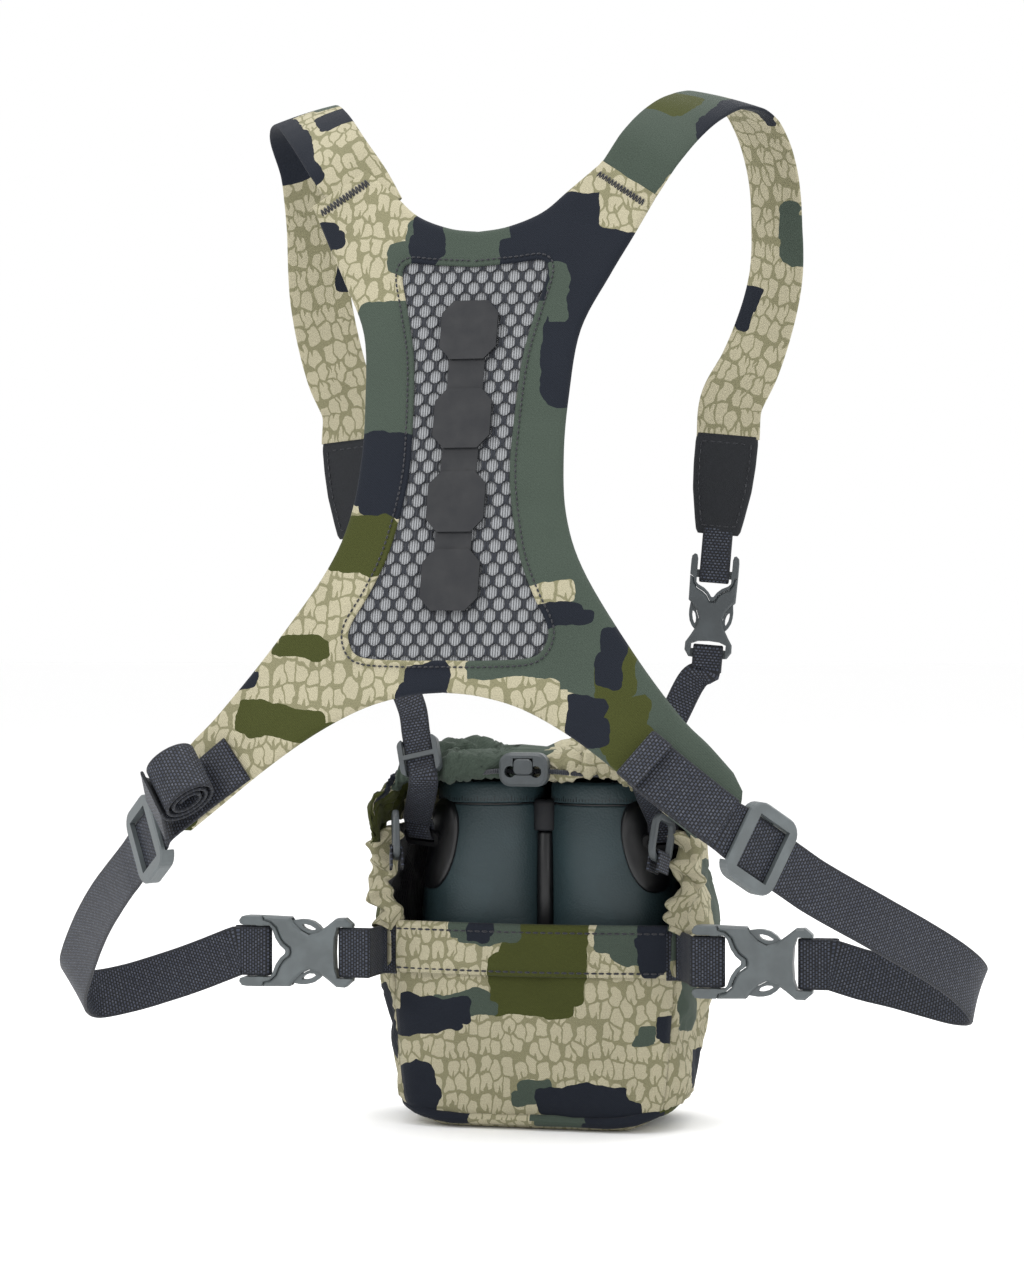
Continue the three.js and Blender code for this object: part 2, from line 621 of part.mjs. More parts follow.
// ---- shoulder buckles, drop webbing and ladder locks ----
const LADDER = {                  // lock centre and a point up the webbing, as if on the right
  left: { at: [54.5, -13, 190], up: [61.5, -6, 220], bend: [72, 1, 231] },
  right: { at: [66, -11, 190], up: [79, 0, 221], bend: [84, 4, 230] },
};
const LUG = { centre: [63.5, 27, 146], along: [0.1, -0.45, 0.9], out: [0.35, -0.85, -0.4] };
const LUG_THICK = 2.2;

function buildDropWebbing(name, side) {
  const flip = (geometry) => (side > 0 ? geometry : mirrored(geometry));
  const right = new Frame(SHOULDER_BUCKLE.centre, SHOULDER_BUCKLE.along, SHOULDER_BUCKLE.out);
  const frame = new Frame(...FRAME_KEYS.map((k) => onSide(side, SHOULDER_BUCKLE[k])));
  frame.place(add(`shoulder_buckle_plug_${name}`, 'dark_grey', smallPlug()));
  frame.place(add(`shoulder_buckle_socket_${name}`, 'dark_grey', small(socketGeometry())));

  const drop = { half: BAR_HALF * SMALL[2], width: DROP_WIDTH, thick: DROP_THICK };
  const loop = wrap(right, { edge: PLUG_BAR * SMALL[0], dir: -1, reach: 19.5, ...drop });
  add(`tab_loop_${name}`, 'webbing', flip(ribbon(loop, DROP_THICK)));

  const { at, up, bend: bendAt } = LADDER[name];
  const upward = up.map((v, k) => v - at[k]);
  const ladder = new Frame(at, upward, [0, -1, 0.1]);
  const fold = wrap(right, { edge: SOCKET_BAR * SMALL[0], dir: 1, reach: 11, ...drop });
  const [start, ...bend] = fold;
  const last = bend.pop();
  const down = [last, { p: V(...bendAt), across: last.across.clone(), width: DROP_WIDTH },
    ...[26, 12, 6, 0.4].map((x) => ladderStation(ladder, x, last.across))];
  const dropPath = [start, ...bend, ...smooth(down, 14)];
  add(`drop_web_${name}`, 'webbing', flip(ribbon(dropPath, DROP_THICK)));

  const ladderFrame = new Frame(onSide(side, at), onSide(side, upward), [0, 1, -0.1]);
  const lock = sliderGeometry(DROP_WIDTH, DROP_THICK, 19, 2.6, 2);
  ladderFrame.place(add(`ladder_lock_${name}`, 'dark_grey', lock));

  const lug = new Frame(LUG.centre, LUG.along, LUG.out);
  const lugBar = { edge: 1.9, half: LUG_THICK / 2, dir: 1, reach: 8 };
  const [back, ...turn] = wrap(lug, { ...lugBar, width: DROP_WIDTH, thick: DROP_THICK });
  const top = turn.pop();
  const rise = [top, ...[-12, -6, -0.4].map((x) => ladderStation(ladder, x, top.across))];
  add(`lug_web_${name}`, 'webbing', flip(ribbon([back, ...turn, ...smooth(rise, 11)], DROP_THICK)));
}

// A point of the webbing inside the ladder lock, its width turned the same way as `like`.
function ladderStation(ladder, x, like) {
  const across = ladder.across.clone().multiplyScalar(Math.sign(ladder.across.dot(like)));
  return { p: ladder.at(x, 0, 0), across, width: DROP_WIDTH };
}

// ---- the pouch ----
const power = (v, e) => Math.sign(v) * Math.abs(v) ** e;
const flare = (z) => Math.min(1, z / POUCH_BACK_TOP) ** 0.7;
const halfWidth = (z) => POUCH_BASE_HALF + (POUCH_HALF - POUCH_BASE_HALF) * flare(z);

// Plan of the side and front walls, a squared-off oval: angle 0 is the right side, 90 the front.
function wallPoint(degrees, z, offset = 0) {
  const a = THREE.MathUtils.degToRad(degrees);
  const half = POUCH_DEPTH / 2;
  const round = 1 / 3;
  const x = (halfWidth(z) + offset) * power(Math.cos(a), round);
  return V(x, half + (half + 1 + offset) * power(Math.sin(a), round), z);
}

// The walls stop where the back panel begins; above the panel their edge draws back.
function wallRow(z, steps) {
  const rise = THREE.MathUtils.clamp((z - POUCH_BACK_TOP) / 24, 0, 1);
  const from = -35 + 23 * rise;
  return Array.from({ length: steps + 1 }, (_, i) => wallPoint(from + ((180 - 2 * from) * i) / steps, z));
}

function panelY(x, z) {
  const across = 1 - (x / 78) ** 2;
  const up = 0.45 + 0.55 * Math.sin(Math.PI * Math.min(z / 96, 1));
  return 3.2 - 6.5 * across * up;
}

function panelGrid(lowZ, highZ, halfX, offset, columns, rows) {
  return Array.from({ length: rows + 1 }, (_, i) => Array.from({ length: columns + 1 }, (__, j) => {
    const z = lowZ + ((highZ - lowZ) * i) / rows;
    const x = -halfX(z) + (2 * halfX(z) * j) / columns;
    return V(x, panelY(x, z) + offset, z);
  }));
}

function buildPouch() {
  const walls = [3.8, 30, 65, POUCH_BACK_TOP, 128, POUCH_WALL_TOP].map((z) => wallRow(z, 26));
  add('pouch_shell', 'camo', shell(walls, WALL_THICK));
  const base = Array.from({ length: 36 }, (_, i) => wallPoint(i * 10, 0, -0.4));
  const plan = outline(base.map((p) => new THREE.Vector2(p.x, Math.max(p.y, 0.5))));
  add('pouch_base', 'camo', plate(plan, 3.2)).position.set(0, 0, 1.6);
  const half = (z) => halfWidth(z) - 7.5;
  add('pouch_back', 'camo', shell(panelGrid(7.9, POUCH_BACK_TOP, half, 0, 12, 4), 2.4));
  const bandFoot = POUCH_BACK_TOP - BAND_HEIGHT;
  const band = panelGrid(bandFoot, POUCH_BACK_TOP, () => BAND_HALF, -GAP - 0.25, 12, 2);
  add('pouch_band', 'camo', shell(band, -2));
  const piping = Array.from({ length: 30 }, (_, i) => {
    const p = wallPoint(i * 12, 5, 3.4);
    return V(p.x, Math.max(p.y, -4.2), 5);
  });
  add('base_piping', 'camo', tube(piping, 2.4, 5, true));
}

// The hood's middle section: Y, and height as a share of the hood's rise, from front to rim.
const HOOD_PROFILE = xz([79.6, 0], [79, 0.34], [70, 0.8], [45, 1], [16, 0.99], [-4, 0.83]);
const HOOD_HALF = 79;

// The hood: its lower edge sits on the wall's top edge, its rim arches over the binoculars.
function hoodPoint(u, v) {
  const a = Math.PI * u;
  const rise = Math.sin(a) ** 0.55;
  const middle = new THREE.SplineCurve(HOOD_PROFILE).getPoint(v);
  const y = THREE.MathUtils.lerp(HOOD_PROFILE[0].x - 73 * v, middle.x, rise);
  const half = HOOD_HALF * (v < 0.3 ? 0.72 + v : 1.02);
  const z = POUCH_WALL_TOP + 2.5 + middle.y * rise * HOOD_RISE;
  return V(-half * power(Math.cos(a), 0.55), y, z);
}

function buildHood() {
  const rows = [0, 0.12, 0.26, 0.42, 0.6, 0.8, 1];
  const grid = rows.map((v) => Array.from({ length: 19 }, (_, i) => hoodPoint(i / 18, v)));
  add('hood', 'camo', shell(grid, -2.4));

  const lock = new THREE.Group();
  lock.position.set(0, -12.5, 183.5);
  lock.rotation.x = Math.PI / 2;
  harness.add(lock);
  const round = (radius, sides) => new THREE.CylinderGeometry(radius, radius, 30, sides);
  const windows = [-6.6, 6.6].map((x) => round(3, 12).rotateX(Math.PI / 2).translate(x, -1, 0));
  const bore = round(1.9, 8).rotateZ(Math.PI / 2).translate(0, -1, -1.8);
  const well = block(0, 1.5, 5, 10.4, 8.6, 10);
  const body = cut(plate(roundedRect(25, 17, 6), 9, 1.4), ...windows, bore, well);
  add('cord_lock', 'dark_grey', body, lock);
  const button = add('cord_lock_button', 'dark_grey', plate(roundedRect(9.6, 7.8, 2.4), 4, 0.6), lock);
  button.position.set(0, 1.5, 3.2);
}

// The elastic cord runs in the hood's hem and straight through the cord lock.
function buildHoodCord() {
  const half = [[0, -10.7, 182.5], [8, -10.7, 182.5], [15, -10.2, 182.4], [22, -6.5, 181.6],
    [31, -1.5, 180.8], [43, 1, 180.6]];
  const left = half.slice(1).reverse().map(([x, y, z]) => [-x, y, z]);
  add('hood_cord', 'cord', tube([...left, ...half].map((p) => V(...p)), 1.3, 6));
}

// Scrunched elastic edge from the back panel's top corner up to the hood.
function buildGather(name, side) {
  const flip = (geometry) => (side > 0 ? geometry : mirrored(geometry));
  const edge = [[77, 1, 109.5], [79, 4.5, 118], [80, 8.5, 128], [80, 9.5, 138], [79, 9.5, 147.5]];
  add(`side_gather_${name}`, 'camo', flip(tube(edge.map((p) => V(...p)), 4.4, 8)));
}

// ---- gate rings, hung by webbing from the pouch's top corners ----
function buildGateRing(name, side) {
  const flip = (geometry) => (side > 0 ? geometry : mirrored(geometry));
  const place = { centre: [69, -6, 149], along: [0.1, 0.25, 0.96], out: [0.95, -0.3, 0] };
  const frame = new Frame(...FRAME_KEYS.map((k) => onSide(side, place[k])));
  const right = new Frame(place.centre, place.along, place.out);
  const [thick, inside] = [3.4, 17];
  const ring = roundedRect(24.5, 22, 7);
  ring.holes.push(roundedRect(inside, 15, 3, new THREE.Path()));
  frame.place(add(`gate_ring_${name}`, 'dark_grey', plate(ring, thick, 1.1, 2, 4)));
  const bar = { edge: -inside / 2, half: thick / 2, dir: -1 };
  const loop = wrap(right, { ...bar, reach: 8, width: 12, thick: DROP_THICK });
  add(`gate_web_${name}`, 'webbing', flip(ribbon(loop, DROP_THICK)));
}

// ---- the binoculars ----
const lathe = (points) => new THREE.LatheGeometry(points, 20).rotateX(Math.PI / 2);

function buildBinoculars() {
  const foot = 4.4;
  const side = spline([[26.5, foot], [28.4, 20], [28.8, 70], [28.4, 105], [27, 138], [25, BARREL_TOP]], 6);
  const barrel = [new THREE.Vector2(0, foot), ...side, new THREE.Vector2(0, BARREL_TOP)];
  const cup = xz([0, GAP], [23.8, GAP], [24, 6.5], [22, 7.5], [17.5, 7.5], [17, 3], [0, 3]);
  for (const [name, sign] of SIDES) {
    const at = [sign * BARREL_X, BARREL_Y];
    add(`bino_barrel_${name}`, 'armour', lathe(barrel)).position.set(...at, 0);
    add(`bino_eyecup_${name}`, 'black', lathe(cup)).position.set(...at, BARREL_TOP);

    const lug = roundedRect(9, 21, 2.6);
    lug.holes.push(roundedRect(3.8, 16.2, 1.2, new THREE.Path()));
    const seat = new Frame(...FRAME_KEYS.map((k) => onSide(sign, LUG[k])));
    seat.place(add(`bino_lug_${name}`, 'black', plate(lug, LUG_THICK, 0, 1, 3)));
  }
  add('bino_bridge', 'black', block(0, BARREL_Y, 84, 2.2, 14, 90));
}

// ---- assembly ----
buildYoke();
for (const [name, side] of SIDES) {
  buildShoulderStrap(name, side);
  buildDropWebbing(name, side);
  buildSideBuckle(name, side);
  buildSideStrap(name, side);
  buildGather(name, side);
  buildGateRing(name, side);
}
buildSpareWebbing();
buildPouch();
buildHood();
buildHoodCord();
buildBinoculars();

// The origin is the middle of the yoke's wearer-side face at its waist.
harness.position.set(0, -(backY(0, MOUNT_Z) + LINING_FACE), -MOUNT_Z);

export default harness;
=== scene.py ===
"""Binocular harness pack: back yoke, shoulder straps, side straps and hooded chest pouch.

Lengths are worked out in millimetres in the pack's standing frame (pouch base on z = 0, back
panel near y = 0, the wearer's midline on x = 0) and moved into the shared frame by to_frame().
"""

import math

import bpy
import numpy as np
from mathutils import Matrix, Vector, geometry, noise


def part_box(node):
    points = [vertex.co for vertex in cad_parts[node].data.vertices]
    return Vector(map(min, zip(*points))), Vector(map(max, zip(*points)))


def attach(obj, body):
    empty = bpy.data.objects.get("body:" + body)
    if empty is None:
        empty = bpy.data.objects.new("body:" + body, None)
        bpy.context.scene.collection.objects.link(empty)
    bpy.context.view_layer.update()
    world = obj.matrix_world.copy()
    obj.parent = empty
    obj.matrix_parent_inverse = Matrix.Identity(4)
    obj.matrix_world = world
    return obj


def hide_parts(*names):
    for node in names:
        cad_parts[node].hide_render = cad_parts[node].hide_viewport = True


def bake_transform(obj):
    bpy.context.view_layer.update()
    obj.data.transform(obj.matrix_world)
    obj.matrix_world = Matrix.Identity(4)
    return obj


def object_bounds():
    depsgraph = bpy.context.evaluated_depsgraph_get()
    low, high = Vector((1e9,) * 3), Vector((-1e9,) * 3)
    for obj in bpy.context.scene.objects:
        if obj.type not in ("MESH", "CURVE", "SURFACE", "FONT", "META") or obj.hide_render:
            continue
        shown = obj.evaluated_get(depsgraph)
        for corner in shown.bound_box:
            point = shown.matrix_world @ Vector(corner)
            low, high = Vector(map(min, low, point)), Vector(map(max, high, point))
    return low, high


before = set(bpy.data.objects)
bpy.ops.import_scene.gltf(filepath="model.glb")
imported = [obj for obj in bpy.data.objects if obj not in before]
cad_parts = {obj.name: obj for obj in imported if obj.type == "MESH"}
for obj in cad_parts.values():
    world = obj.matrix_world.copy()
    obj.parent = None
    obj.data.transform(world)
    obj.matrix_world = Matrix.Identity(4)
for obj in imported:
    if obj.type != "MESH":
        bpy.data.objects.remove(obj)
CAD_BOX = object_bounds()
SCENE = bpy.context.scene
OFFSET = np.array([0.0, 137.76, -345.0])
SIDES = (("left", -1), ("right", 1))

YOKE_TOP_Y, YOKE_TOP_Z = -105, 461      # where the back surface is measured from
BACK_SLOPE, BACK_CUP = 0.31, 0.0006     # its fall, and its wrap round the back per mm squared
WING_CURL_START, WING_CURL = 95, 0.006  # extra forward curl of the wing tips
SOCKET_BAR, PLUG_BAR = 24.8, -16.5      # edges of a side buckle's web bars, along its own axis
SIDE_BAR, SMALL_BAR = 1.3, 0.975        # half the thickness of a side and of a shoulder buckle's bar
SMALL_BUCKLE = 0.87                     # a shoulder buckle's length as a share of a side buckle's
BELT_WIDTH, BELT_THICK = 25, 1.6        # side webbing
DROP_WIDTH, DROP_THICK = 15, 1.4        # webbing between shoulder buckle and binoculars
BACK_TOP = 104                          # top edge of the back panel
HOOD_START_Z, HOOD_RISE = 152.5, 41     # the hood starts 2.5 above the walls' top edge; its height
PRINTED_SLOT = 2                        # hood material slots 2 and 3 are both the printed cloth


def to_frame(points):
    return (np.asarray(points, float) + OFFSET) / 1000


# ---------------------------------------------------------------- materials
ALBEDO = 0.62                 # share of a display colour that is the surface's own, under the studio light


def rgb(red, green, blue, alpha=1.0):
    """Linear surface colour from 0-255 display values."""
    def linear(v):
        v /= 255
        return ALBEDO * (v / 12.92 if v <= 0.04045 else ((v + 0.055) / 1.055) ** 2.4)
    return (linear(red), linear(green), linear(blue), alpha)


class Shader:
    """A material being wired up."""

    def __init__(self, name, roughness=0.8, sheen=0.0, specular=0.5):
        self.mat = bpy.data.materials.new(name)
        self.mat.use_nodes = True
        self.tree = self.mat.node_tree
        self.bsdf = self.tree.nodes["Principled BSDF"]
        self.bsdf.inputs["Roughness"].default_value = roughness
        self.bsdf.inputs["Sheen Weight"].default_value = sheen
        self.bsdf.inputs["Sheen Roughness"].default_value = 0.5
        self.bsdf.inputs["Specular IOR Level"].default_value = specular

    def put(self, socket, value):
        if isinstance(value, bpy.types.NodeSocket):
            self.tree.links.new(value, socket)
        else:
            socket.default_value = value

    def add(self, kind, inputs=None, **settings):
        node = self.tree.nodes.new("ShaderNode" + kind)
        for key, value in settings.items():
            setattr(node, key, value)
        for key, value in (inputs or {}).items():
            self.put(node.inputs[key], value)
        return node

    def math(self, operation, a, b=0.0, c=0.0):
        return self.add("Math", {0: a, 1: b, 2: c}, operation=operation).outputs[0]

    def vector(self, operation, a, b=(0, 0, 0)):
        node = self.add("VectorMath", {0: a}, operation=operation)
        self.put(node.inputs["Scale" if operation == "SCALE" else 1], b)
        return node.outputs["Value" if operation == "DOT_PRODUCT" else "Vector"]

    def ramp(self, value, low, high, to_low=0.0, to_high=1.0):
        return self.add("MapRange", {0: value, 1: low, 2: high, 3: to_low, 4: to_high}).outputs[0]

    def mix(self, factor, a, b):
        node = self.add("Mix", data_type="RGBA")
        self.put(node.inputs[0], factor)
        self.put(node.inputs[6], a)
        self.put(node.inputs[7], b)
        return node.outputs[2]

    def surface(self, millimetres=True):
        """Where a point lies on the cloth, in millimetres."""
        uv = self.add("TexCoord").outputs["UV" if millimetres else "Object"]
        return self.vector("SCALE", uv, 1000.0)

    def noise(self, coords, scale, detail=2.0):
        return self.add("TexNoise", {"Vector": coords, "Scale": scale, "Detail": detail})

    def bump(self, height, distance, strength=1.0, onto=None):
        node = self.add("Bump", {"Height": height, "Distance": distance, "Strength": strength})
        if onto is not None:
            self.put(node.inputs["Normal"], onto)
        self.put(self.bsdf.inputs["Normal"], node.outputs[0])
        return node.outputs[0]

    def colour(self, value):
        self.put(self.bsdf.inputs["Base Color"], value)


INKS = {
    "khaki": None,
    "green": rgb(78, 90, 80),
    "navy": rgb(33, 38, 48),
    "olive": rgb(74, 79, 36),
}
CELL, GROUND = rgb(200, 193, 164), rgb(152, 148, 116)


def tooth_cells(s, mm, cell):
    """1 inside the printed cells: round-topped, flat-footed and often notched, in rough rows."""
    tiles = s.vector("MULTIPLY", mm, (1 / cell[0], 1 / cell[1], 0))
    looks = dict(voronoi_dimensions="2D")
    edge = s.add("TexVoronoi", {"Vector": tiles, "Scale": 1.0, "Randomness": 0.62},
                 feature="DISTANCE_TO_EDGE", **looks).outputs["Distance"]
    seed = s.add("TexVoronoi", {"Vector": tiles, "Scale": 1.0, "Randomness": 0.62}, feature="F1", **looks)
    own = s.add("SeparateXYZ", {0: s.vector("SUBTRACT", tiles, seed.outputs["Position"])})
    side = s.math("ABSOLUTE", own.outputs[0])
    up = own.outputs[1]
    def power(value, size, n):
        return s.math("POWER", s.math("DIVIDE", s.math("ABSOLUTE", value), size), n)
    top = s.math("ADD", power(side, 0.49, 2.4), power(up, 0.55, 2.2))
    foot = s.math("ADD", power(side, 0.47, 4.0), power(up, 0.47, 6.0))
    above = s.math("GREATER_THAN", up, 0.0)
    form = s.math("ADD", s.math("MULTIPLY", top, above),
                  s.math("MULTIPLY", foot, s.math("SUBTRACT", 1.0, above)))
    body = s.math("MULTIPLY", s.ramp(form, 1.06, 0.94), s.ramp(edge, 0.05, 0.085))
    chance = s.add("SeparateColor", {0: seed.outputs["Color"]}).outputs[0]
    slit = s.math("MULTIPLY", s.math("LESS_THAN", up, -0.06), s.math("GREATER_THAN", chance, 0.52))
    wedge = s.math("LESS_THAN", side, s.math("MULTIPLY", up, -0.34))
    return s.math("MULTIPLY", body, s.math("SUBTRACT", 1.0, s.math("MULTIPLY", slit, wedge)))


def block_mask(s, where, x, y, half_x, half_y, turn):
    """1 inside a soft-cornered block."""
    local = s.add("Mapping", {"Vector": where, "Location": (x, y, 0), "Scale": (half_x, half_y, 1),
                              "Rotation": (0, 0, math.radians(turn))}, vector_type="TEXTURE")
    square = s.vector("MULTIPLY", local.outputs[0], local.outputs[0])
    fourth = s.vector("MULTIPLY", square, square)
    sixth = s.vector("MULTIPLY", fourth, square)
    return s.math("LESS_THAN", s.vector("DOT_PRODUCT", sixth, (1, 1, 0)), 1.0)


def camo(name, blobs, cell=(6.2, 9.6), shade=1.0):
    """Printed cloth: pale cells on khaki, then stepped, soft-cornered blocks of the darker inks. shade scales
    the whole colour down as painted shade.
    """
    s = Shader(name, 0.88, 0.05, 0.15)
    mm = s.surface()
    drift = s.vector("SUBTRACT", s.noise(mm, 0.045, 1.0).outputs["Color"], (0.5, 0.5, 0.5))
    ripple = s.vector("SUBTRACT", s.noise(mm, 0.17, 1.5).outputs["Color"], (0.5, 0.5, 0.5))
    where = s.vector("ADD", s.vector("ADD", mm, s.vector("SCALE", ripple, 3.0)),
                     s.vector("SCALE", drift, 11.0))
    bent = s.vector("ADD", mm, s.vector("SCALE", ripple, 4.4))
    khaki = s.mix(tooth_cells(s, bent, cell), GROUND, CELL)
    ink = khaki
    for k, (colour, x, y, half_x, half_y, turn) in enumerate(blobs):
        lean = 1 if k % 2 else -1
        mask = s.math("MAXIMUM",
                      block_mask(s, where, x, y + 0.16 * half_y, 0.84 * half_x, 0.84 * half_y, turn),
                      block_mask(s, where, x + lean * 0.24 * half_x, y - 0.34 * half_y,
                                 0.84 * half_x, 0.6 * half_y, turn))
        ink = s.mix(mask, ink, khaki if colour == "khaki" else INKS[colour])

    heather = s.noise(mm, 1.6, 3.0).outputs[0]
    cloudy = s.noise(mm, 0.03, 2.0).outputs[0]
    light = s.math("ADD", s.ramp(heather, 0.25, 0.75, -0.2, 0.2), s.ramp(cloudy, 0.3, 0.7, 0.95, 1.04))
    # shade below 1 darkens the whole cloth: painted shade
    s.colour(s.vector("SCALE", ink, s.math("MULTIPLY", light, shade)))
    twill = s.add("TexWave", {"Vector": mm, "Scale": 0.55, "Distortion": 0.6, "Detail": 1.0},
                  bands_direction="DIAGONAL").outputs[1]
    s.bump(s.math("ADD", heather, s.math("MULTIPLY", twill, 0.5)), 0.00022, 0.8)
    return s.mat


def webbing(name, width, base=(33, 37, 47)):
    """Ribbed nylon webbing: pale picks in offset rows over a dark ground, painted glints (painted highlights)
    on random raised picks, and plain selvedges.
    """
    s = Shader(name, 0.62, 0.04, 0.3)
    mm = s.surface()
    weave = s.add("TexBrick", {
        "Vector": mm, "Color1": rgb(*[v * 2.0 for v in base]), "Color2": rgb(*[v * 1.55 for v in base]),
        "Mortar": rgb(*[v * 0.6 for v in base]), "Scale": 1.0, "Mortar Size": 0.42,
        "Mortar Smooth": 0.4, "Bias": 0.0, "Brick Width": 1.9, "Row Height": 1.45,
    })
    # this noise chooses which raised picks get painted glints (painted highlights)
    glint_noise = s.noise(s.vector("MULTIPLY", mm, (0.5, 0.4, 0)), 1.0, 2.0).outputs[0]
    height = s.math("SUBTRACT", 1.0, weave.outputs[1])
    # painted glints: random raised picks are painted pale grey-blue as painted highlights
    spark = s.math("MULTIPLY", height, s.ramp(glint_noise, 0.42, 0.7, 0.05, 0.6))
    with_painted_glints = s.mix(spark, weave.outputs[0], rgb(118, 123, 136))
    across = s.math("ABSOLUTE", s.add("SeparateXYZ", {0: mm}).outputs[0])
    edge = s.ramp(across, width / 2 - 1.5, width / 2 - 1.1)
    s.colour(s.mix(s.math("MULTIPLY", edge, 0.7), with_painted_glints, rgb(*[v * 0.8 for v in base])))
    s.bump(s.math("MULTIPLY", height, s.math("SUBTRACT", 1.0, s.math("MULTIPLY", edge, 0.6))), 0.0005, 0.9)
    return s.mat


def plastic(name, base, roughness=0.46):
    """Moulded plastic: a fine spark-eroded grain and a little handling wear."""
    s = Shader(name, roughness)
    mm = s.surface(False)
    worn = s.noise(mm, 0.12, 4.0).outputs[0]
    s.colour(s.mix(s.ramp(worn, 0.4, 0.75), rgb(*base), rgb(*[v * 1.14 for v in base])))
    s.put(s.bsdf.inputs["Roughness"], s.ramp(worn, 0.3, 0.7, roughness - 0.06, roughness + 0.08))
    s.bump(s.noise(mm, 3.0, 3.0).outputs[0], 0.00008, 0.6)
    return s.mat


def leather(name, base):
    s = Shader(name, 0.62, 0.0, 0.3)
    mm = s.surface()
    grain = s.add("TexVoronoi", {"Vector": mm, "Scale": 1.1, "Randomness": 0.9},
                  voronoi_dimensions="2D", feature="DISTANCE_TO_EDGE").outputs["Distance"]
    tone = s.noise(mm, 0.2, 3.0).outputs[0]
    s.colour(s.mix(tone, rgb(*base), rgb(*[v * 1.25 for v in base])))
    s.bump(s.ramp(grain, 0.0, 0.25), 0.00012, 0.6)
    return s.mat


def armour(name, base):
    """Pebbled rubber armour, with faint broad panels in it."""
    s = Shader(name, 0.5)
    mm = s.surface(False)
    pebble = s.add("TexVoronoi", {"Vector": mm, "Scale": 0.85, "Randomness": 1.0}).outputs["Distance"]
    panel = s.ramp(s.noise(mm, 0.03, 1.0).outputs[0], 0.48, 0.52, 0.0, 0.35)
    s.colour(s.mix(panel, rgb(*base), rgb(*[v * 0.86 for v in base])))
    s.bump(s.math("ADD", pebble, s.math("MULTIPLY", s.noise(mm, 2.2, 2.0).outputs[0], 0.4)), 0.00028, 0.45)
    return s.mat


def knit(name, base, pitch=0.9, contrast=0.55):
    """Knitted cloth with ribs running up it."""
    s = Shader(name, 0.9, 0.2)
    mm = s.surface()
    rib = s.math("SINE", s.math("MULTIPLY", s.add("SeparateXYZ", {0: mm}).outputs[0], 2 * math.pi / pitch))
    loop = s.noise(s.vector("MULTIPLY", mm, (1.0, 2.6, 0)), 1.0, 1.0).outputs[0]
    tone = s.ramp(s.math("ADD", rib, s.math("MULTIPLY", loop, 1.4)), -0.6, 1.6)
    s.colour(s.mix(tone, rgb(*[v * contrast for v in base]), rgb(*base)))
    s.bump(tone, 0.0003, 0.8)
    return s.mat


YOKE_BLOBS = [
    ("green", -6, 434, 33, 14, 0), ("green", -40, 374, 19, 34, 0), ("green", 50, 325, 32, 96, 0),
    ("green", 92, 230, 40, 56, 0), ("green", 58, 238, 44, 13, 0), ("green", 128, 184, 28, 34, 0),
    ("navy", 37, 432, 24, 25, 0), ("navy", 58, 440, 27, 18, 0), ("navy", 58, 394, 22, 38, 0),
    ("navy", -35, 324, 20, 21, 0), ("navy", -24, 437, 7, 12, 0), ("navy", -76, 441, 9, 8, 0),
    ("khaki", 78, 462, 18, 22, 0), ("olive", -46, 291, 26, 14, 0), ("khaki", -62, 272, 30, 7, 0),
    ("olive", -76, 211, 27, 8, -4), ("olive", -66, 245, 15, 6, 0), ("navy", -100, 232, 10, 7, 0),
    ("navy", -8, 228, 13, 12, 0), ("khaki", 30, 221, 30, 9, 4), ("khaki", 46, 268, 15, 7, 6),
    ("navy", 48, 258, 17, 6, 4), ("olive", 80, 235, 10, 15, 0), ("olive", 84, 208, 13, 17, 0),
    ("navy", 77, 240, 7, 13, 0), ("navy", 66, 212, 10, 12, 0), ("olive", -124, 172, 14, 12, 0),
    ("green", 40, 410, 6, 14, 0),
]
POUCH_BLOBS = [
    ("olive", 8, 84, 27, 28, 0), ("green", 61, 99, 32, 13, 0), ("navy", 65, 97, 10, 17, 0),
    ("green", -26, 103, 20, 9, 0), ("navy", -26, 105, 7, 10, 0), ("green", -36, 64, 19, 7, 5),
    ("navy", -49, 58, 24, 10, 4), ("navy", -60, 17, 12, 15, 0), ("green", 3, 19, 12, 6, 8),
    ("navy", 27, 14, 28, 9, 4), ("green", 60, 48, 6, 5, 0), ("navy", 71, 51, 7, 8, 0),
]
WALL_BLOBS = [
    ("olive", -96, 20, 16, 22, 0), ("navy", -88, 14, 12, 10, 0), ("green", -30, 118, 44, 18, 0),
    ("navy", 22, 84, 30, 16, -5), ("olive", 60, 44, 26, 20, 0), ("green", -60, 60, 22, 12, 6),
    ("navy", -20, 30, 34, 9, 3), ("green", 96, 110, 18, 24, 0), ("navy", 104, 30, 16, 11, 0),
    ("olive", -118, 96, 16, 16, 0), ("green", 128, 66, 12, 16, 0), ("navy", -130, 52, 10, 20, 0),
]
STRAP_BLOBS = [
    ("green", -6, 46, 26, 58, 0), ("navy", 14, 92, 10, 42, 10), ("olive", -8, 70, 12, 14, 0),
    ("khaki", -12, 150, 20, 34, 0), ("green", 12, 196, 9, 16, 0), ("navy", -14, 236, 8, 12, 0),
]
STRAP_BLOBS_LEFT = [
    ("navy", -10, 66, 12, 12, 0), ("navy", 13, 84, 8, 56, 0), ("navy", 2, 128, 28, 34, 0),
    ("green", -12, 96, 7, 10, 0), ("navy", -14, 214, 6, 10, 0),
]
HOOD_BLOBS = [
    ("green", -33, 74, 41, 52, 0), ("navy", -76, 90, 9, 22, 0), ("olive", -101, 92, 18, 44, 0),
    ("olive", 40, 84, 26, 10, 0), ("green", 98, 78, 22, 34, 0), ("navy", -20, 22, 30, 10, 4),
    ("olive", 60, 24, 22, 12, 0), ("navy", 84, 54, 9, 12, 0),
]
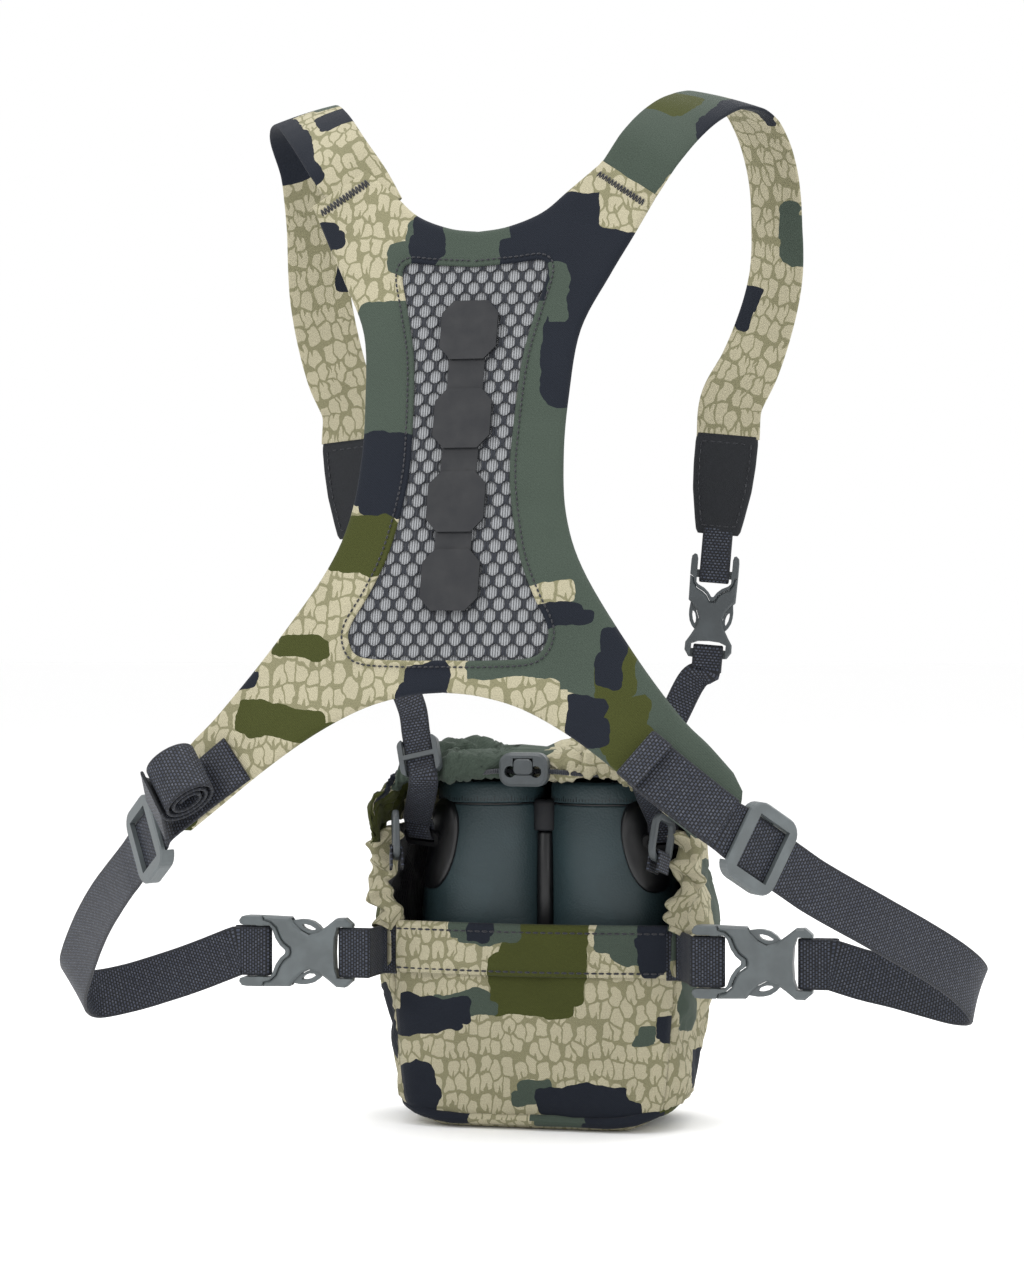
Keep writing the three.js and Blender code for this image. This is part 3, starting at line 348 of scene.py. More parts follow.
PIPING_BLOBS = [          # along the piping in turns of it, from the middle of the back
    ("green", 0.05, 0.05), ("navy", 0.13, 0.07), ("olive", 0.2, 0.03), ("green", 0.3, 0.05),
    ("navy", 0.42, 0.04),
    ("green", 0.52, 0.06), ("navy", 0.64, 0.04), ("green", 0.76, 0.06), ("navy", 0.87, 0.06),
]

M = {
    "yoke": camo("camo_yoke", YOKE_BLOBS),
    "pouch": camo("camo_pouch_back", POUCH_BLOBS),
    "wall": camo("camo_pouch_wall", WALL_BLOBS),
    "strap_right": camo("camo_strap_right", STRAP_BLOBS),
    "strap_left": camo("camo_strap_left", STRAP_BLOBS_LEFT),
    "hood": camo("camo_hood", HOOD_BLOBS, (6.2, 8.6)),
    # the gather is painted 5% darker than the same cloth elsewhere: painted shade in its scrunched folds
    "gather": camo("camo_gather", [], (6.2, 9.0), 0.95),
    "web25": webbing("webbing_25", float(BELT_WIDTH)),
    "web15": webbing("webbing_15", float(DROP_WIDTH)),
    "grey": plastic("buckle_grey", (98, 105, 107)),
    "dark": plastic("buckle_dark", (74, 80, 83)),
    "black": plastic("black_plastic", (17, 18, 21), 0.36),
    "rubber": plastic("rubber_pads", (25, 27, 32), 0.7),
    "leather": leather("tab_leather", (23, 26, 31)),
    "armour": armour("binocular_armour", (46, 68, 73)),
    "lining": knit("lining_knit", (62, 66, 70), 1.2, 0.7),
    "inside": knit("pouch_inside", (34, 36, 40), 1.0, 0.7),
    "net": knit("net_black", (44, 49, 60), 1.3, 0.6),
    "backing": knit("net_backing", (196, 199, 203), 1.15, 0.42),
    "thread": knit("thread", (40, 42, 54), 0.5, 0.6),
    "cord": knit("cord_braid", (44, 48, 58), 1.0, 0.6),
}


# ---------------------------------------------------------------- mesh helpers
def piece(name, points, faces, material, body, uv=None, replaces=(), slot=None, smooth=True):
    """A new mesh object from millimetre points; uv is one (u, v) in millimetres per point."""
    mesh = bpy.data.meshes.new(name)
    mesh.from_pydata([tuple(p) for p in to_frame(points)], [], [tuple(int(i) for i in f) for f in faces])
    if uv is not None:
        layer = mesh.uv_layers.new(name="UVMap")
        corner = np.zeros(len(mesh.loops), np.int32)
        mesh.loops.foreach_get("vertex_index", corner)
        layer.data.foreach_set("uv", (np.asarray(uv, float)[corner] / 1000).astype(np.float32).ravel())
    mesh.polygons.foreach_set("use_smooth", [smooth] * len(mesh.polygons))
    mesh.materials.append(material)
    obj = bpy.data.objects.new(name, mesh)
    SCENE.collection.objects.link(obj)
    if body:
        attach(obj, body)
    if replaces:
        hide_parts(*replaces)
    return obj


def grid_faces(rows, columns, start=0, flip=False):
    faces = []
    for i in range(rows - 1):
        for j in range(columns - 1):
            a = start + i * columns + j
            quad = (a, a + 1, a + columns + 1, a + columns)
            faces.append(quad[::-1] if flip else quad)
    return faces


def grid(name, points, uv, material, body, flip=False, **more):
    points = np.asarray(points, float)
    rows, columns = points.shape[:2]
    faces = grid_faces(rows, columns, 0, flip)
    return piece(name, points.reshape(-1, 3), faces, material, body, np.asarray(uv).reshape(-1, 2), **more)


def solidify(obj, thickness, inner=None, offset=-1.0):
    if inner:
        obj.data.materials.append(inner)
    mod = obj.modifiers.new("thickness", "SOLIDIFY")
    mod.thickness = thickness / 1000
    mod.offset = offset
    mod.use_even_offset = False
    mod.material_offset = 1 if inner else 0
    return obj


def soften(obj, levels=1):
    mod = obj.modifiers.new("rounding", "SUBSURF")
    mod.levels = mod.render_levels = levels
    return obj


def crumple(obj, sewn, slack=0.08, pressure=0.5, cap=6.0, bending=0.1):
    """Cloth simulation: slack cloth buckles between its sewn points (weight 1). The result is applied."""
    group = obj.vertex_groups.new(name="sewn")
    for k, weight in enumerate(np.asarray(sewn, float).ravel()):
        if weight > 0.001:
            group.add([k], float(weight), "REPLACE")
    cloth = obj.modifiers.new("cloth", "CLOTH")
    rules = cloth.settings
    rules.quality, rules.mass, rules.air_damping = 7, 0.2, 3.0
    rules.tension_stiffness, rules.compression_stiffness = 25.0, 25.0
    rules.shear_stiffness, rules.bending_stiffness = 6.0, bending
    rules.vertex_group_mass = group.name
    rules.shrink_min = -slack
    rules.effector_weights.gravity = 0.0
    rules.use_pressure, rules.uniform_pressure_force = True, pressure
    cloth.collision_settings.use_collision = False
    cloth.point_cache.frame_start, cloth.point_cache.frame_end = 1, 20
    for step in range(1, 21):
        SCENE.frame_set(step)
    flat = np.zeros(len(obj.data.vertices) * 3)
    ready = obj.evaluated_get(bpy.context.evaluated_depsgraph_get())
    ready.data.vertices.foreach_get("co", flat)
    settled = flat.reshape(-1, 3).copy()
    obj.data.vertices.foreach_get("co", flat)
    start = flat.reshape(-1, 3)
    shift = settled - start
    far = np.linalg.norm(shift, axis=1, keepdims=True)
    shift *= np.minimum(1, cap / 1000 / np.maximum(far, 1e-9))
    obj.modifiers.remove(cloth)
    obj.vertex_groups.remove(group)
    obj.data.vertices.foreach_set("co", (start + shift).ravel())
    obj.data.update()
    SCENE.frame_set(1)


def fold_noise(points, scale, amount, seed=0.0, octaves=3):
    """Smooth random heights for cloth, one per point."""
    flat = np.asarray(points, float).reshape(-1, 3) / scale + seed
    heights = [noise.fractal(Vector(p), 1.0, 2.0, octaves) for p in flat]
    return amount * np.array(heights).reshape(np.asarray(points).shape[:-1])


def normals_of(points):
    """Unit normals of a grid of points."""
    down, across = np.gradient(points, axis=0), np.gradient(points, axis=1)
    normal = np.cross(down, across)
    return normal / np.maximum(np.linalg.norm(normal, axis=-1, keepdims=True), 1e-9)


def unit(v):
    v = np.asarray(v, float)
    return v / np.maximum(np.linalg.norm(v, axis=-1, keepdims=True), 1e-12)


def flat_spline(points, steps):
    """Uniform Catmull-Rom through 2-D points, `steps` pieces in all."""
    p = np.asarray(points, float)
    out = []
    for i in range(steps + 1):
        place = i / steps * (len(p) - 1)
        k = min(int(place), len(p) - 2)
        t = place - k
        a, b, c, d = (p[min(max(k + n, 0), len(p) - 1)] for n in (-1, 0, 1, 2))
        v0, v1 = (c - a) / 2, (d - b) / 2
        out.append((2 * b - 2 * c + v0 + v1) * t ** 3 + (3 * c - 3 * b - 2 * v0 - v1) * t ** 2 + v0 * t + b)
    return np.array(out)


def smooth_path(control, step=2.0):
    """Centripetal Catmull-Rom through rows of (x, y, z, ...), one point about every `step` mm."""
    p = np.asarray(control, float)
    p = np.vstack([2 * p[0] - p[1], p, 2 * p[-1] - p[-2]])
    gap = np.maximum(np.linalg.norm(np.diff(p[:, :3], axis=0), axis=1), 1e-4) ** 0.5
    out = []
    for i in range(1, len(p) - 2):
        d0, d1, d2 = gap[i - 1], gap[i], gap[i + 1]
        t1 = ((p[i] - p[i - 1]) / d0 - (p[i + 1] - p[i - 1]) / (d0 + d1) + (p[i + 1] - p[i]) / d1) * d1
        t2 = ((p[i + 1] - p[i]) / d1 - (p[i + 2] - p[i]) / (d1 + d2) + (p[i + 2] - p[i + 1]) / d2) * d1
        for t in np.linspace(0, 1, max(2, int(np.ceil(d1 ** 2 / step)) + 1))[:-1]:
            a, b = p[i], p[i + 1]
            out.append((2 * a - 2 * b + t1 + t2) * t ** 3 + (3 * b - 3 * a - 2 * t1 - t2) * t ** 2
                       + t1 * t + a)
    out.append(p[-2])
    return np.array(out)


def lengths(points):
    step = np.linalg.norm(np.diff(points, axis=0), axis=1)
    return np.concatenate([[0], np.cumsum(step)])


def resample(points, step):
    """The same polyline with a point about every `step` mm."""
    run = lengths(points)
    at = np.linspace(0, run[-1], max(2, int(round(run[-1] / step)) + 1))
    return np.stack([np.interp(at, run, points[:, k]) for k in range(points.shape[1])], 1)


def strap(name, path, across, width, thick, material, body, crown=0.0, wave=0.0, seed=0.0, **more):
    """A strap along a dense path. Its section is a thin rectangle with rounded edges."""
    path = np.asarray(path, float)
    across = np.broadcast_to(np.asarray(across, float), path.shape)
    width = np.broadcast_to(np.asarray(width, float), len(path))
    along = unit(np.gradient(path, axis=0))
    side = unit(across - along * np.sum(across * along, axis=1, keepdims=True))
    out = np.cross(along, side)
    run = lengths(path)
    s = np.linspace(-1, 1, 11)
    arc = np.linspace(0, np.pi, 5)[1:-1]
    section = [(v, 1, 0) for v in s] + [(1, np.cos(a), np.sin(a)) for a in arc]
    section += [(v, -1, 0) for v in s[::-1]] + [(-1, -np.cos(a), np.sin(a)) for a in arc]
    section.append(section[0])
    points, uv = [], []
    for sv, tv, bulge in section:
        lateral = sv * (width / 2 - thick / 2 + bulge * thick / 2)
        proud = thick / 2 * tv + (crown * (1 - sv * sv) * np.sign(tv) if not bulge else 0)
        points.append(path + side * lateral[:, None] + out * np.broadcast_to(proud, len(path))[:, None])
        uv.append(np.stack([lateral, run], 1))
    points, uv = np.array(points), np.array(uv)
    if wave:
        points = points + out[None] * fold_noise(path, 26, wave, seed)[None, :, None]
    faces = grid_faces(*points.shape[:2], flip=True)
    count, n = len(path), len(section) - 1
    ends = [[k * count for k in range(n)], [k * count + count - 1 for k in reversed(range(n))]]
    return piece(name, points.reshape(-1, 3), faces + ends, material, body, uv.reshape(-1, 2), **more)


def tube(name, path, radius, material, body, sides=10, closed=False, **more):
    """A round tube along a dense path; radius may vary along it."""
    path = np.asarray(path, float)
    radius = np.broadcast_to(np.asarray(radius, float), len(path))
    along = unit(np.gradient(path, axis=0))
    if closed:
        along[0] = along[-1] = unit(path[1] - path[-2])
    helper = np.array([0.0, 0.0, 1.0]) if abs(along[:, 2]).mean() < 0.8 else np.array([0.0, 1.0, 0.0])
    side = unit(np.cross(along, helper))
    up = np.cross(side, along)
    run = lengths(path)
    points, uv = [], []
    for a in np.linspace(0, 2 * np.pi, sides + 1):
        points.append(path + (side * np.cos(a) + up * np.sin(a)) * radius[:, None])
        uv.append(np.stack([run, np.full(len(path), a * radius.mean())], 1))
    points = np.array(points)
    faces = grid_faces(*points.shape[:2])
    if not closed:
        count = len(path)
        faces += [[k * count for k in range(sides)][::-1], [k * count + count - 1 for k in range(sides)]]
    return piece(name, points.reshape(-1, 3), faces, material, body, np.array(uv).reshape(-1, 2), **more)


def stitches(name, path, out, body, length=2.5, gap=0.9, radius=0.32, zigzag=0.0, across=None):
    """A row of thread stitches along a path; `out` is the cloth's normal, per point or one."""
    path = np.asarray(path, float)
    out = np.broadcast_to(np.asarray(out, float), path.shape)
    run = lengths(path)
    points, faces = [], []
    ring = [(0.0, 0.25), (0.25, 1.0), (0.75, 1.0), (1.0, 0.25)]
    for k, start in enumerate(np.arange(0, run[-1] - length, length + gap)):
        ends = np.array([[np.interp(q, run, path[:, c]) for c in range(3)] for q in (start, start + length)])
        normal = unit(np.array([np.interp(start, run, out[:, c]) for c in range(3)]))
        if zigzag:
            shift = unit(np.asarray(across, float)) * zigzag * (1 if k % 2 else -1)
            ends = ends + np.array([-shift, shift])
        along = unit(ends[1] - ends[0])
        side = np.cross(normal, along)
        first = len(points)
        for t, size in ring:
            middle = ends[0] + (ends[1] - ends[0]) * t
            for a in np.linspace(0, 2 * np.pi, 6, endpoint=False):
                points.append(middle + radius * size * (side * np.cos(a) + normal * (np.sin(a) * 0.8)))
        for r in range(3):
            for a in range(6):
                b, c = first + 6 * r, (a + 1) % 6
                faces.append((b + a, b + c, b + 6 + c, b + 6 + a))
        faces.append(tuple(first + a for a in reversed(range(6))))
        faces.append(tuple(first + 18 + a for a in range(6)))
    points = np.array(points)
    return piece(name, points, faces, M["thread"], body, points[:, [0, 2]])


def smooth_group():
    """A modifier that shades a carried-over piece smoothly without touching its mesh."""
    group = bpy.data.node_groups.new("smooth_shading", "GeometryNodeTree")
    group.interface.new_socket("Geometry", in_out="INPUT", socket_type="NodeSocketGeometry")
    group.interface.new_socket("Geometry", in_out="OUTPUT", socket_type="NodeSocketGeometry")
    start, end = group.nodes.new("NodeGroupInput"), group.nodes.new("NodeGroupOutput")
    shade = group.nodes.new("GeometryNodeSetShadeSmooth")
    group.links.new(start.outputs[0], shade.inputs[0])
    group.links.new(shade.outputs[0], end.inputs[0])
    return group


SMOOTH = smooth_group()


def finish_hard(node, material, bevel=0.45):
    """A moulded piece kept from the CAD model: rounded edges and its material."""
    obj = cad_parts[node]
    obj.data.materials.clear()
    obj.data.materials.append(material)
    obj.modifiers.new("shade", "NODES").node_group = SMOOTH
    rounding = obj.modifiers.new("edges", "BEVEL")
    rounding.width = bevel / 1000
    rounding.segments = 2
    rounding.limit_method = "ANGLE"
    rounding.angle_limit = math.radians(38)
    rounding.use_clamp_overlap = True
    weighted = obj.modifiers.new("normals", "WEIGHTED_NORMAL")
    weighted.keep_sharp = True


# ---------------------------------------------------------------- back yoke
def back_y(x, z):
    x, z = np.asarray(x, float), np.asarray(z, float)
    curl = np.maximum(0, np.abs(x) - WING_CURL_START)
    return YOKE_TOP_Y - BACK_SLOPE * (YOKE_TOP_Z - z) + BACK_CUP * x * x + WING_CURL * curl ** 2


def on_back(xz, t):
    xz = np.asarray(xz, float)
    return np.stack([xz[..., 0], back_y(xz[..., 0], xz[..., 1]) + t, xz[..., 1]], -1)


BACK_OUT = unit([0, -1, BACK_SLOPE])
NECK = [[0, 441], [14, 443], [30, 449.5], [42, 460], [57.5, 474]]
FLANK = [[83.8, 456.5], [74, 437], [64, 418], [52, 392], [48.5, 360], [48, 333], [51, 305], [61, 279],
         [85, 243], [107, 215], [120, 202], [130.5, 190]]
TIP = [[134.5, 182], [133.5, 174], [127.5, 166.5], [121, 162]]
ARCH = [[116, 162], [102, 173], [80, 191], [58, 206.5], [36, 218], [16, 223.5], [0, 225]]
WINDOW = [[0, 423.5], [20, 425], [32, 426], [35, 420], [31, 403], [26, 380], [24, 350], [24, 322],
          [30, 290], [38, 270], [45.5, 256], [46, 248], [40, 241], [20, 239.5], [0, 239.5]]
CORNER = np.array([[57.5, 474.0], [83.8, 456.5]])


def both_sides(right):
    left = [(-x, z) for x, z in right[::-1] if x > 1e-6]
    return np.array([tuple(p) for p in right] + left, float)


YOKE_EDGE = both_sides(np.vstack([flat_spline(NECK, 22), flat_spline(FLANK, 70), flat_spline(TIP, 12),
                                  flat_spline(ARCH, 36)]))
WINDOW_EDGE = both_sides(flat_spline(WINDOW, 70))


def inside(polygon, points):
    a, b = polygon, np.roll(polygon, -1, 0)
    px, pz = points[:, 0, None], points[:, 1, None]
    crosses = (a[:, 1] > pz) != (b[:, 1] > pz)
    rise = np.where(b[:, 1] == a[:, 1], 1e-9, b[:, 1] - a[:, 1])
    return (np.sum(crosses & (px < (b[:, 0] - a[:, 0]) * (pz - a[:, 1]) / rise + a[:, 0]), 1) % 2) == 1


def distance_to(polygon, points):
    a, b = polygon, np.roll(polygon, -1, 0)
    ab = b - a
    t = np.einsum("pij,ij->pi", points[:, None] - a, ab) / np.maximum(np.sum(ab * ab, 1), 1e-9)
    near = a + np.clip(t, 0, 1)[..., None] * ab
    return np.linalg.norm(points[:, None] - near, axis=-1).min(1)


def outset(polygon, amount):
    """The polygon moved outwards (or inwards, if negative)."""
    along = unit(np.roll(polygon, -1, 0) - np.roll(polygon, 1, 0))
    side = np.stack([along[:, 1], -along[:, 0]], 1)
    area = np.sum(polygon[:, 0] * np.roll(polygon[:, 1], -1) - np.roll(polygon[:, 0], -1) * polygon[:, 1])
    return polygon + side * amount * np.sign(area)


def flat_mesh(outer, holes=(), step=3.6, rims=(0.5, 1.3, 2.6)):
    """Points and triangles of a flat shape, with extra rings of points close to its edges."""
    loops = [outer, *holes]
    lo, hi = outer.min(0), outer.max(0)
    xs, zs = np.arange(lo[0], hi[0], step), np.arange(lo[1], hi[1], step * 0.866)
    lattice = np.array([(x + (step / 2 if k % 2 else 0), z) for k, z in enumerate(zs) for x in xs])
    def margin(p):
        return np.min([distance_to(loop, p) for loop in loops], 0)
    within = [inside(h, lattice) for h in holes] or [np.zeros(len(lattice), bool)]
    keep = inside(outer, lattice) & ~np.any(within, 0)
    lattice = lattice[keep]
    parts = [*loops, lattice[margin(lattice) > rims[-1] + step * 0.5]]
    for d in rims:
        for k, loop in enumerate(loops):
            ring = outset(loop, d if k else -d)
            parts.append(ring[margin(ring) > d * 0.93])
    points = np.vstack(parts)
    edges, first = [], 0
    for loop in loops:
        n = len(loop)
        edges += [(first + k, first + (k + 1) % n) for k in range(n)]
        first += n
    verts, _, faces, *_ = geometry.delaunay_2d_cdt([Vector(p) for p in points], edges, [], 0, 1e-5)
    verts = np.array([tuple(v) for v in verts])
    middle = np.array([verts[list(f)].mean(0) for f in faces])
    keep = inside(outer, middle)
    for hole in holes:
        keep &= ~inside(hole, middle)
    return verts, [f for f, k in zip(faces, keep) if k]


def rounded(d, radius):
    """0 at an edge, rising like a quarter circle to 1 at `radius` from it."""
    t = 1 - np.clip(d / radius, 0, 1)
    return np.sqrt(1 - t * t)


def build_yoke():
    verts, faces = flat_mesh(YOKE_EDGE, [WINDOW_EDGE])
    rim, hole = distance_to(YOKE_EDGE, verts), distance_to(WINDOW_EDGE, verts)
    corner = np.minimum(*[distance_to(CORNER * (s, 1), verts) for s in (1, -1)])
    low = np.where(corner < 2.5, 1.9, 0.0) * (1 - np.clip(corner / 2.5, 0, 1) ** 2)
    t = np.maximum(2.7 * rounded(rim, 2.4), low)
    t = np.minimum(t, 1.6 + 1.3 * rounded(hole, 2.0))
    t -= 0.45 * np.exp(-((hole - 2.9) / 0.8) ** 2)
    t += fold_noise(on_back(verts, 0), 34, 0.9, 3.1) * np.clip(rim / 10, 0, 1) * np.clip(hole / 6, 0.2, 1)
    shell = piece("yoke_shell_cloth", on_back(verts, -t), [f[::-1] for f in faces], M["yoke"],
                  "harness", verts, replaces=["yoke_shell"], slot="camo_fabric")
    verts, faces = flat_mesh(YOKE_EDGE, step=6)
    rim = distance_to(YOKE_EDGE, verts)
    t = 2.9 * rounded(rim, 3.0) + fold_noise(on_back(verts, 0), 30, 0.5, 8.0) * np.clip(rim / 10, 0, 1)
    lining = piece("yoke_lining_cloth", on_back(verts, t), faces, M["lining"], "harness", verts,
                   replaces=["yoke_lining"], slot="lining_fabric")
    path = resample(np.vstack([outset(WINDOW_EDGE, 2.9), outset(WINDOW_EDGE, 2.9)[:1]]), 1.2)
    stitches("window_stitching", on_back(path, -2.85), BACK_OUT, "harness", 2.0, 0.7, 0.42)
    for name, side in SIDES:
        edge = CORNER * (side, 1)
        inward = unit([-0.554 * side, -0.832])
        ends = edge + inward * 6.5
        ends = np.array([ends[0] + (ends[1] - ends[0]) * k for k in (0.08, 0.92)])
        line = on_back(resample(ends, 1.0), -3.0)
        stitches("corner_zigzag_" + name, line, BACK_OUT, "harness", 0.55, 0.35, 0.36, 2.0,
                 [inward[0], 0, inward[1]])


def build_window_net():
    """Net of staggered oval holes in front of a pale ribbed backing."""
    cover = outset(WINDOW_EDGE, 3.5)
    verts, faces = flat_mesh(cover, step=5, rims=(2.0,))
    backing = piece("yoke_net_backing", on_back(verts, -0.45), [f[::-1] for f in faces],
                    M["backing"], "harness", verts, slot="spacer_mesh")
    across, up = 7.6, 5.3
    points, quads = [], []
    turn = np.linspace(0, 2 * np.pi, 13)[:-1]
    corners = np.array([(across / 2 * x, up * z) for x, z in
                        [(1, 0), (1, 1 / 3), (0.5, 0.5), (0, 2 / 3), (-0.5, 0.5), (-1, 1 / 3), (-1, 0),
                         (-1, -1 / 3),
                         (-0.5, -0.5), (0, -2 / 3), (0.5, -0.5), (1, -1 / 3)]])
    hole = np.stack([2.75 * np.cos(turn), 3.1 * np.sin(turn)], 1)
    centres = np.array([(c * across + (across / 2 if r % 2 else 0), r * up) for r in range(42, 85)
                        for c in range(-8, 9)])
    centres = centres[inside(outset(WINDOW_EDGE, 4.0), centres)]
    rings = [(corners, -1.15), ((corners + hole) / 2, -1.55), (hole * 1.06, -1.4), (hole, -0.9), (hole, -0.5)]
    for centre in centres:
        first = len(points)
        for ring, t in rings:
            points.extend(on_back(ring + centre, t))
        for r in range(len(rings) - 1):
            for k in range(12):
                a, b = first + 12 * r + k, first + 12 * r + (k + 1) % 12
                quads.append((a, a + 12, b + 12, b))
    points = np.array(points)
    net = piece("yoke_mesh_net", points, quads, M["net"], "harness", points[:, [0, 2]],
                replaces=["yoke_mesh"], slot="spacer_mesh")
    backing.parent = net


# ---------------------------------------------------------------- shoulder straps
TAB_TOP, TAB_FOOT = np.array([98.9, 15, 352.2]), np.array([94.2, 13, 302])
TAB_ACROSS = [0.98, 0.05, -0.1]
BUCKLE_AT, BUCKLE_ALONG, BUCKLE_OUT = [91.5, 10.5, 265.5], [-4, -3, -52], [0.12, -1, 0.05]


def flipped(points, side):
    return np.asarray(points, float) * (side, 1, 1)


def shoulder_control(name):
    sewn = [0.83, -0.1, -0.55]
    def seat(x, z):
        return [x, float(back_y(x, z)) - 0.2, z]
    rows = [
        (seat(61.5, 451.2), sewn), (seat(70.6, 465.2), sewn), ([79.5, -97.5, 479.5], sewn),
        ([91, -79, 497.5], [0.84, -0.2, -0.45]), ([105, -46, 510.5], [0.85, -0.41, -0.33]),
        ([115.5, -20, 507], [0.85, -0.48, -0.2]), ([121.5, -2, 491], [0.85, -0.52, -0.1]),
        ([124.5, 8, 465], [0.85, -0.53, 0]), ([122.5, 13, 425], [0.9, -0.4, 0]),
        ([110.5, 15, 388], [0.97, -0.15, 0.05]), ([100.6, 15.2, 368], [0.98, 0.05, -0.1]),
        ([99.1, 15, 350.5], TAB_ACROSS),
    ]
    control = np.array([p + a for p, a in rows], float)
    if name == "left":
        control[:, 0] -= np.interp(control[:, 2], [350, 368, 425, 465, 491, 507], [0, 1.5, 8, 9, 6, 0])
    return control


def build_shoulder(name, side):
    dense = smooth_path(shoulder_control(name), 2.0)
    path, across = flipped(dense[:, :3], side), flipped(dense[:, 3:], side)
    obj = strap("shoulder_strap_cloth_" + name, path, across, 32, 1.9, M["strap_" + name], "harness",
                crown=0.75, wave=0.5, seed=side, replaces=["shoulder_strap_" + name], slot="camo_fabric")

    t = np.linspace(0, 1, 26)
    path = TAB_TOP + (TAB_FOOT - TAB_TOP) * t[:, None]
    width = np.interp(t, [0, 0.06, 0.3, 0.55, 0.85, 0.97, 1], [30.6, 31.8, 31.6, 30, 25, 22.6, 20.5])
    strap("strap_tab_leather_" + name, flipped(path, side), flipped(TAB_ACROSS, side), width, 3.0,
          M["leather"], "harness", crown=0.5, replaces=["strap_tab_" + name], slot="tab_leather")
    across = unit(TAB_ACROSS)
    down = unit(TAB_FOOT - TAB_TOP)
    out = unit(np.cross(down, across))
    def border(face):
        loop = []
        for s, rows in ((1, t[2:-2]), (-1, t[2:-2][::-1])):
            for v in rows:
                half = np.interp(v, t, width) / 2 - 3.2
                loop.append(TAB_TOP + (TAB_FOOT - TAB_TOP) * v + across * s * half + out * face)
        loop.append(loop[0])
        return resample(np.array(loop), 1.0)
    for tag, face in (("front", 2.0), ("back", -2.0)):
        stitches(f"tab_stitching_{tag}_{name}", flipped(border(face), side),
                 flipped(out * np.sign(face), side),
                 "harness", 2.6, 1.2, 0.3)


class Place:
    """Hardware's own frame: X along the webbing, Y across it, Z out of its face."""

    def __init__(self, centre, along, out):
        self.centre, self.along = np.array(centre, float), unit(along)
        out = np.array(out, float)
        self.out = unit(out - self.along * out.dot(self.along))
        self.across = np.cross(self.out, self.along)

    def at(self, x, y, z):
        return self.centre + self.along * x + self.across * y + self.out * z

    def fold(self, edge, half, direction, reach, thick):
        """Webbing round a bar: one leg, eleven points round the bar, the other leg."""
        h = half + 0.35 + thick / 2
        middle = edge + direction * 0.35 * half
        turns = np.linspace(-np.pi / 2, np.pi / 2, 11)
        bend = [self.at(middle - direction * h * np.cos(a), 0, h * np.sin(a)) for a in turns]
        legs = np.linspace(reach, 1.5, 8)
        first = [self.at(middle + direction * r, 0, -h) for r in legs]
        last = [self.at(middle + direction * r, 0, h) for r in legs[::-1]]
        return np.array(first + bend + last)


LADDER = {
    "left": ([54.5, -13, 190], [61.5, -6, 220], [72, 1, 231]),
    "right": ([66, -11, 190], [79, 0, 221], [84, 4, 230]),
}
LUG_AT, LUG_ALONG, LUG_OUT = [63.5, 27, 146], [0.1, -0.45, 0.9], [0.35, -0.85, -0.4]


def build_drop(name, side):
    buckle = Place(BUCKLE_AT, BUCKLE_ALONG, BUCKLE_OUT)
    loop = buckle.fold(PLUG_BAR * SMALL_BUCKLE, SMALL_BAR, -1, 19.5, DROP_THICK)
    middle, upward = (loop[0] + loop[-1]) / 2, unit(loop[0] - loop[1])
    sewn = [middle + (p - middle) * 0.4 + upward * 5.5 for p in (loop[0], loop[-1])]   # into the tab's foot
    loop = np.vstack([sewn[0], loop, sewn[1]])
    strap("tab_loop_web_" + name, flipped(loop, side), flipped(buckle.across, side),
          DROP_WIDTH, DROP_THICK, M["web15"],
          "harness",
          replaces=["tab_loop_" + name], slot="webbing")

    at, up, bend = (np.array(v, float) for v in LADDER[name])
    ladder = Place(at, up - at, [0, -1, 0.1])
    fold = buckle.fold(SOCKET_BAR * SMALL_BUCKLE, SMALL_BAR, 1, 11, DROP_THICK)
    turn = ladder.across * np.sign(ladder.across.dot(buckle.across))
    down = [(fold[-1], buckle.across), (bend, buckle.across)]
    down += [(ladder.at(x, 0, 0), turn) for x in (26, 12, 6, 0.4)]
    tail = smooth_path([[*p, *a] for p, a in down], 1.6)
    path = np.vstack([fold[:-1], tail[:, :3]])
    across = np.vstack([np.repeat([buckle.across], len(fold) - 1, 0), tail[:, 3:]])
    web = strap("drop_webbing_" + name, flipped(path, side), flipped(across, side), DROP_WIDTH, DROP_THICK,
                M["web15"], None,
                replaces=["drop_web_" + name], slot="webbing")
    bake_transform(web)

    lug = Place(LUG_AT, LUG_ALONG, LUG_OUT)
    fold = lug.fold(1.9, 1.1, 1, 8, 1.4)
    turn = ladder.across * np.sign(ladder.across.dot(lug.across))
    rise = [(fold[-1], lug.across)] + [(ladder.at(x, 0, 0), turn) for x in (-12, -6, -0.4)]
    tail = smooth_path([[*p, *a] for p, a in rise], 1.6)
    path = np.vstack([fold[:-1], tail[:, :3]])
    across = np.vstack([np.repeat([lug.across], len(fold) - 1, 0), tail[:, 3:]])
    strap("lug_webbing_" + name, flipped(path, side), flipped(across, side),
          DROP_WIDTH, DROP_THICK, M["web15"],
          "harness",
          replaces=["lug_web_" + name], slot="webbing")


# ---------------------------------------------------------------- side straps
WING_START, WING_DIR = np.array([94.0, 195.0]), np.array([0.787, -0.617])
SLIDER_DIR, SLIDER_ACROSS = unit([0.581, 0.642, -0.5]), np.array([0.4, 0.36, 0.84])
BUCKLE_X, BUCKLE_Y, BELT_Z = 117.0, -20.5, 90.0


def on_wing(distance, lift=0.0):
    x, z = WING_START + WING_DIR * distance
    slope = float(back_y(x + 0.5, z) - back_y(x - 0.5, z))
    out = unit([slope, -1, BACK_SLOPE])
    along = unit([WING_DIR[0], WING_DIR[0] * slope + WING_DIR[1] * BACK_SLOPE, WING_DIR[1]])
    return np.array([x, float(back_y(x, z)) - 4.9, z]) + out * lift, np.cross(out, along), out, along


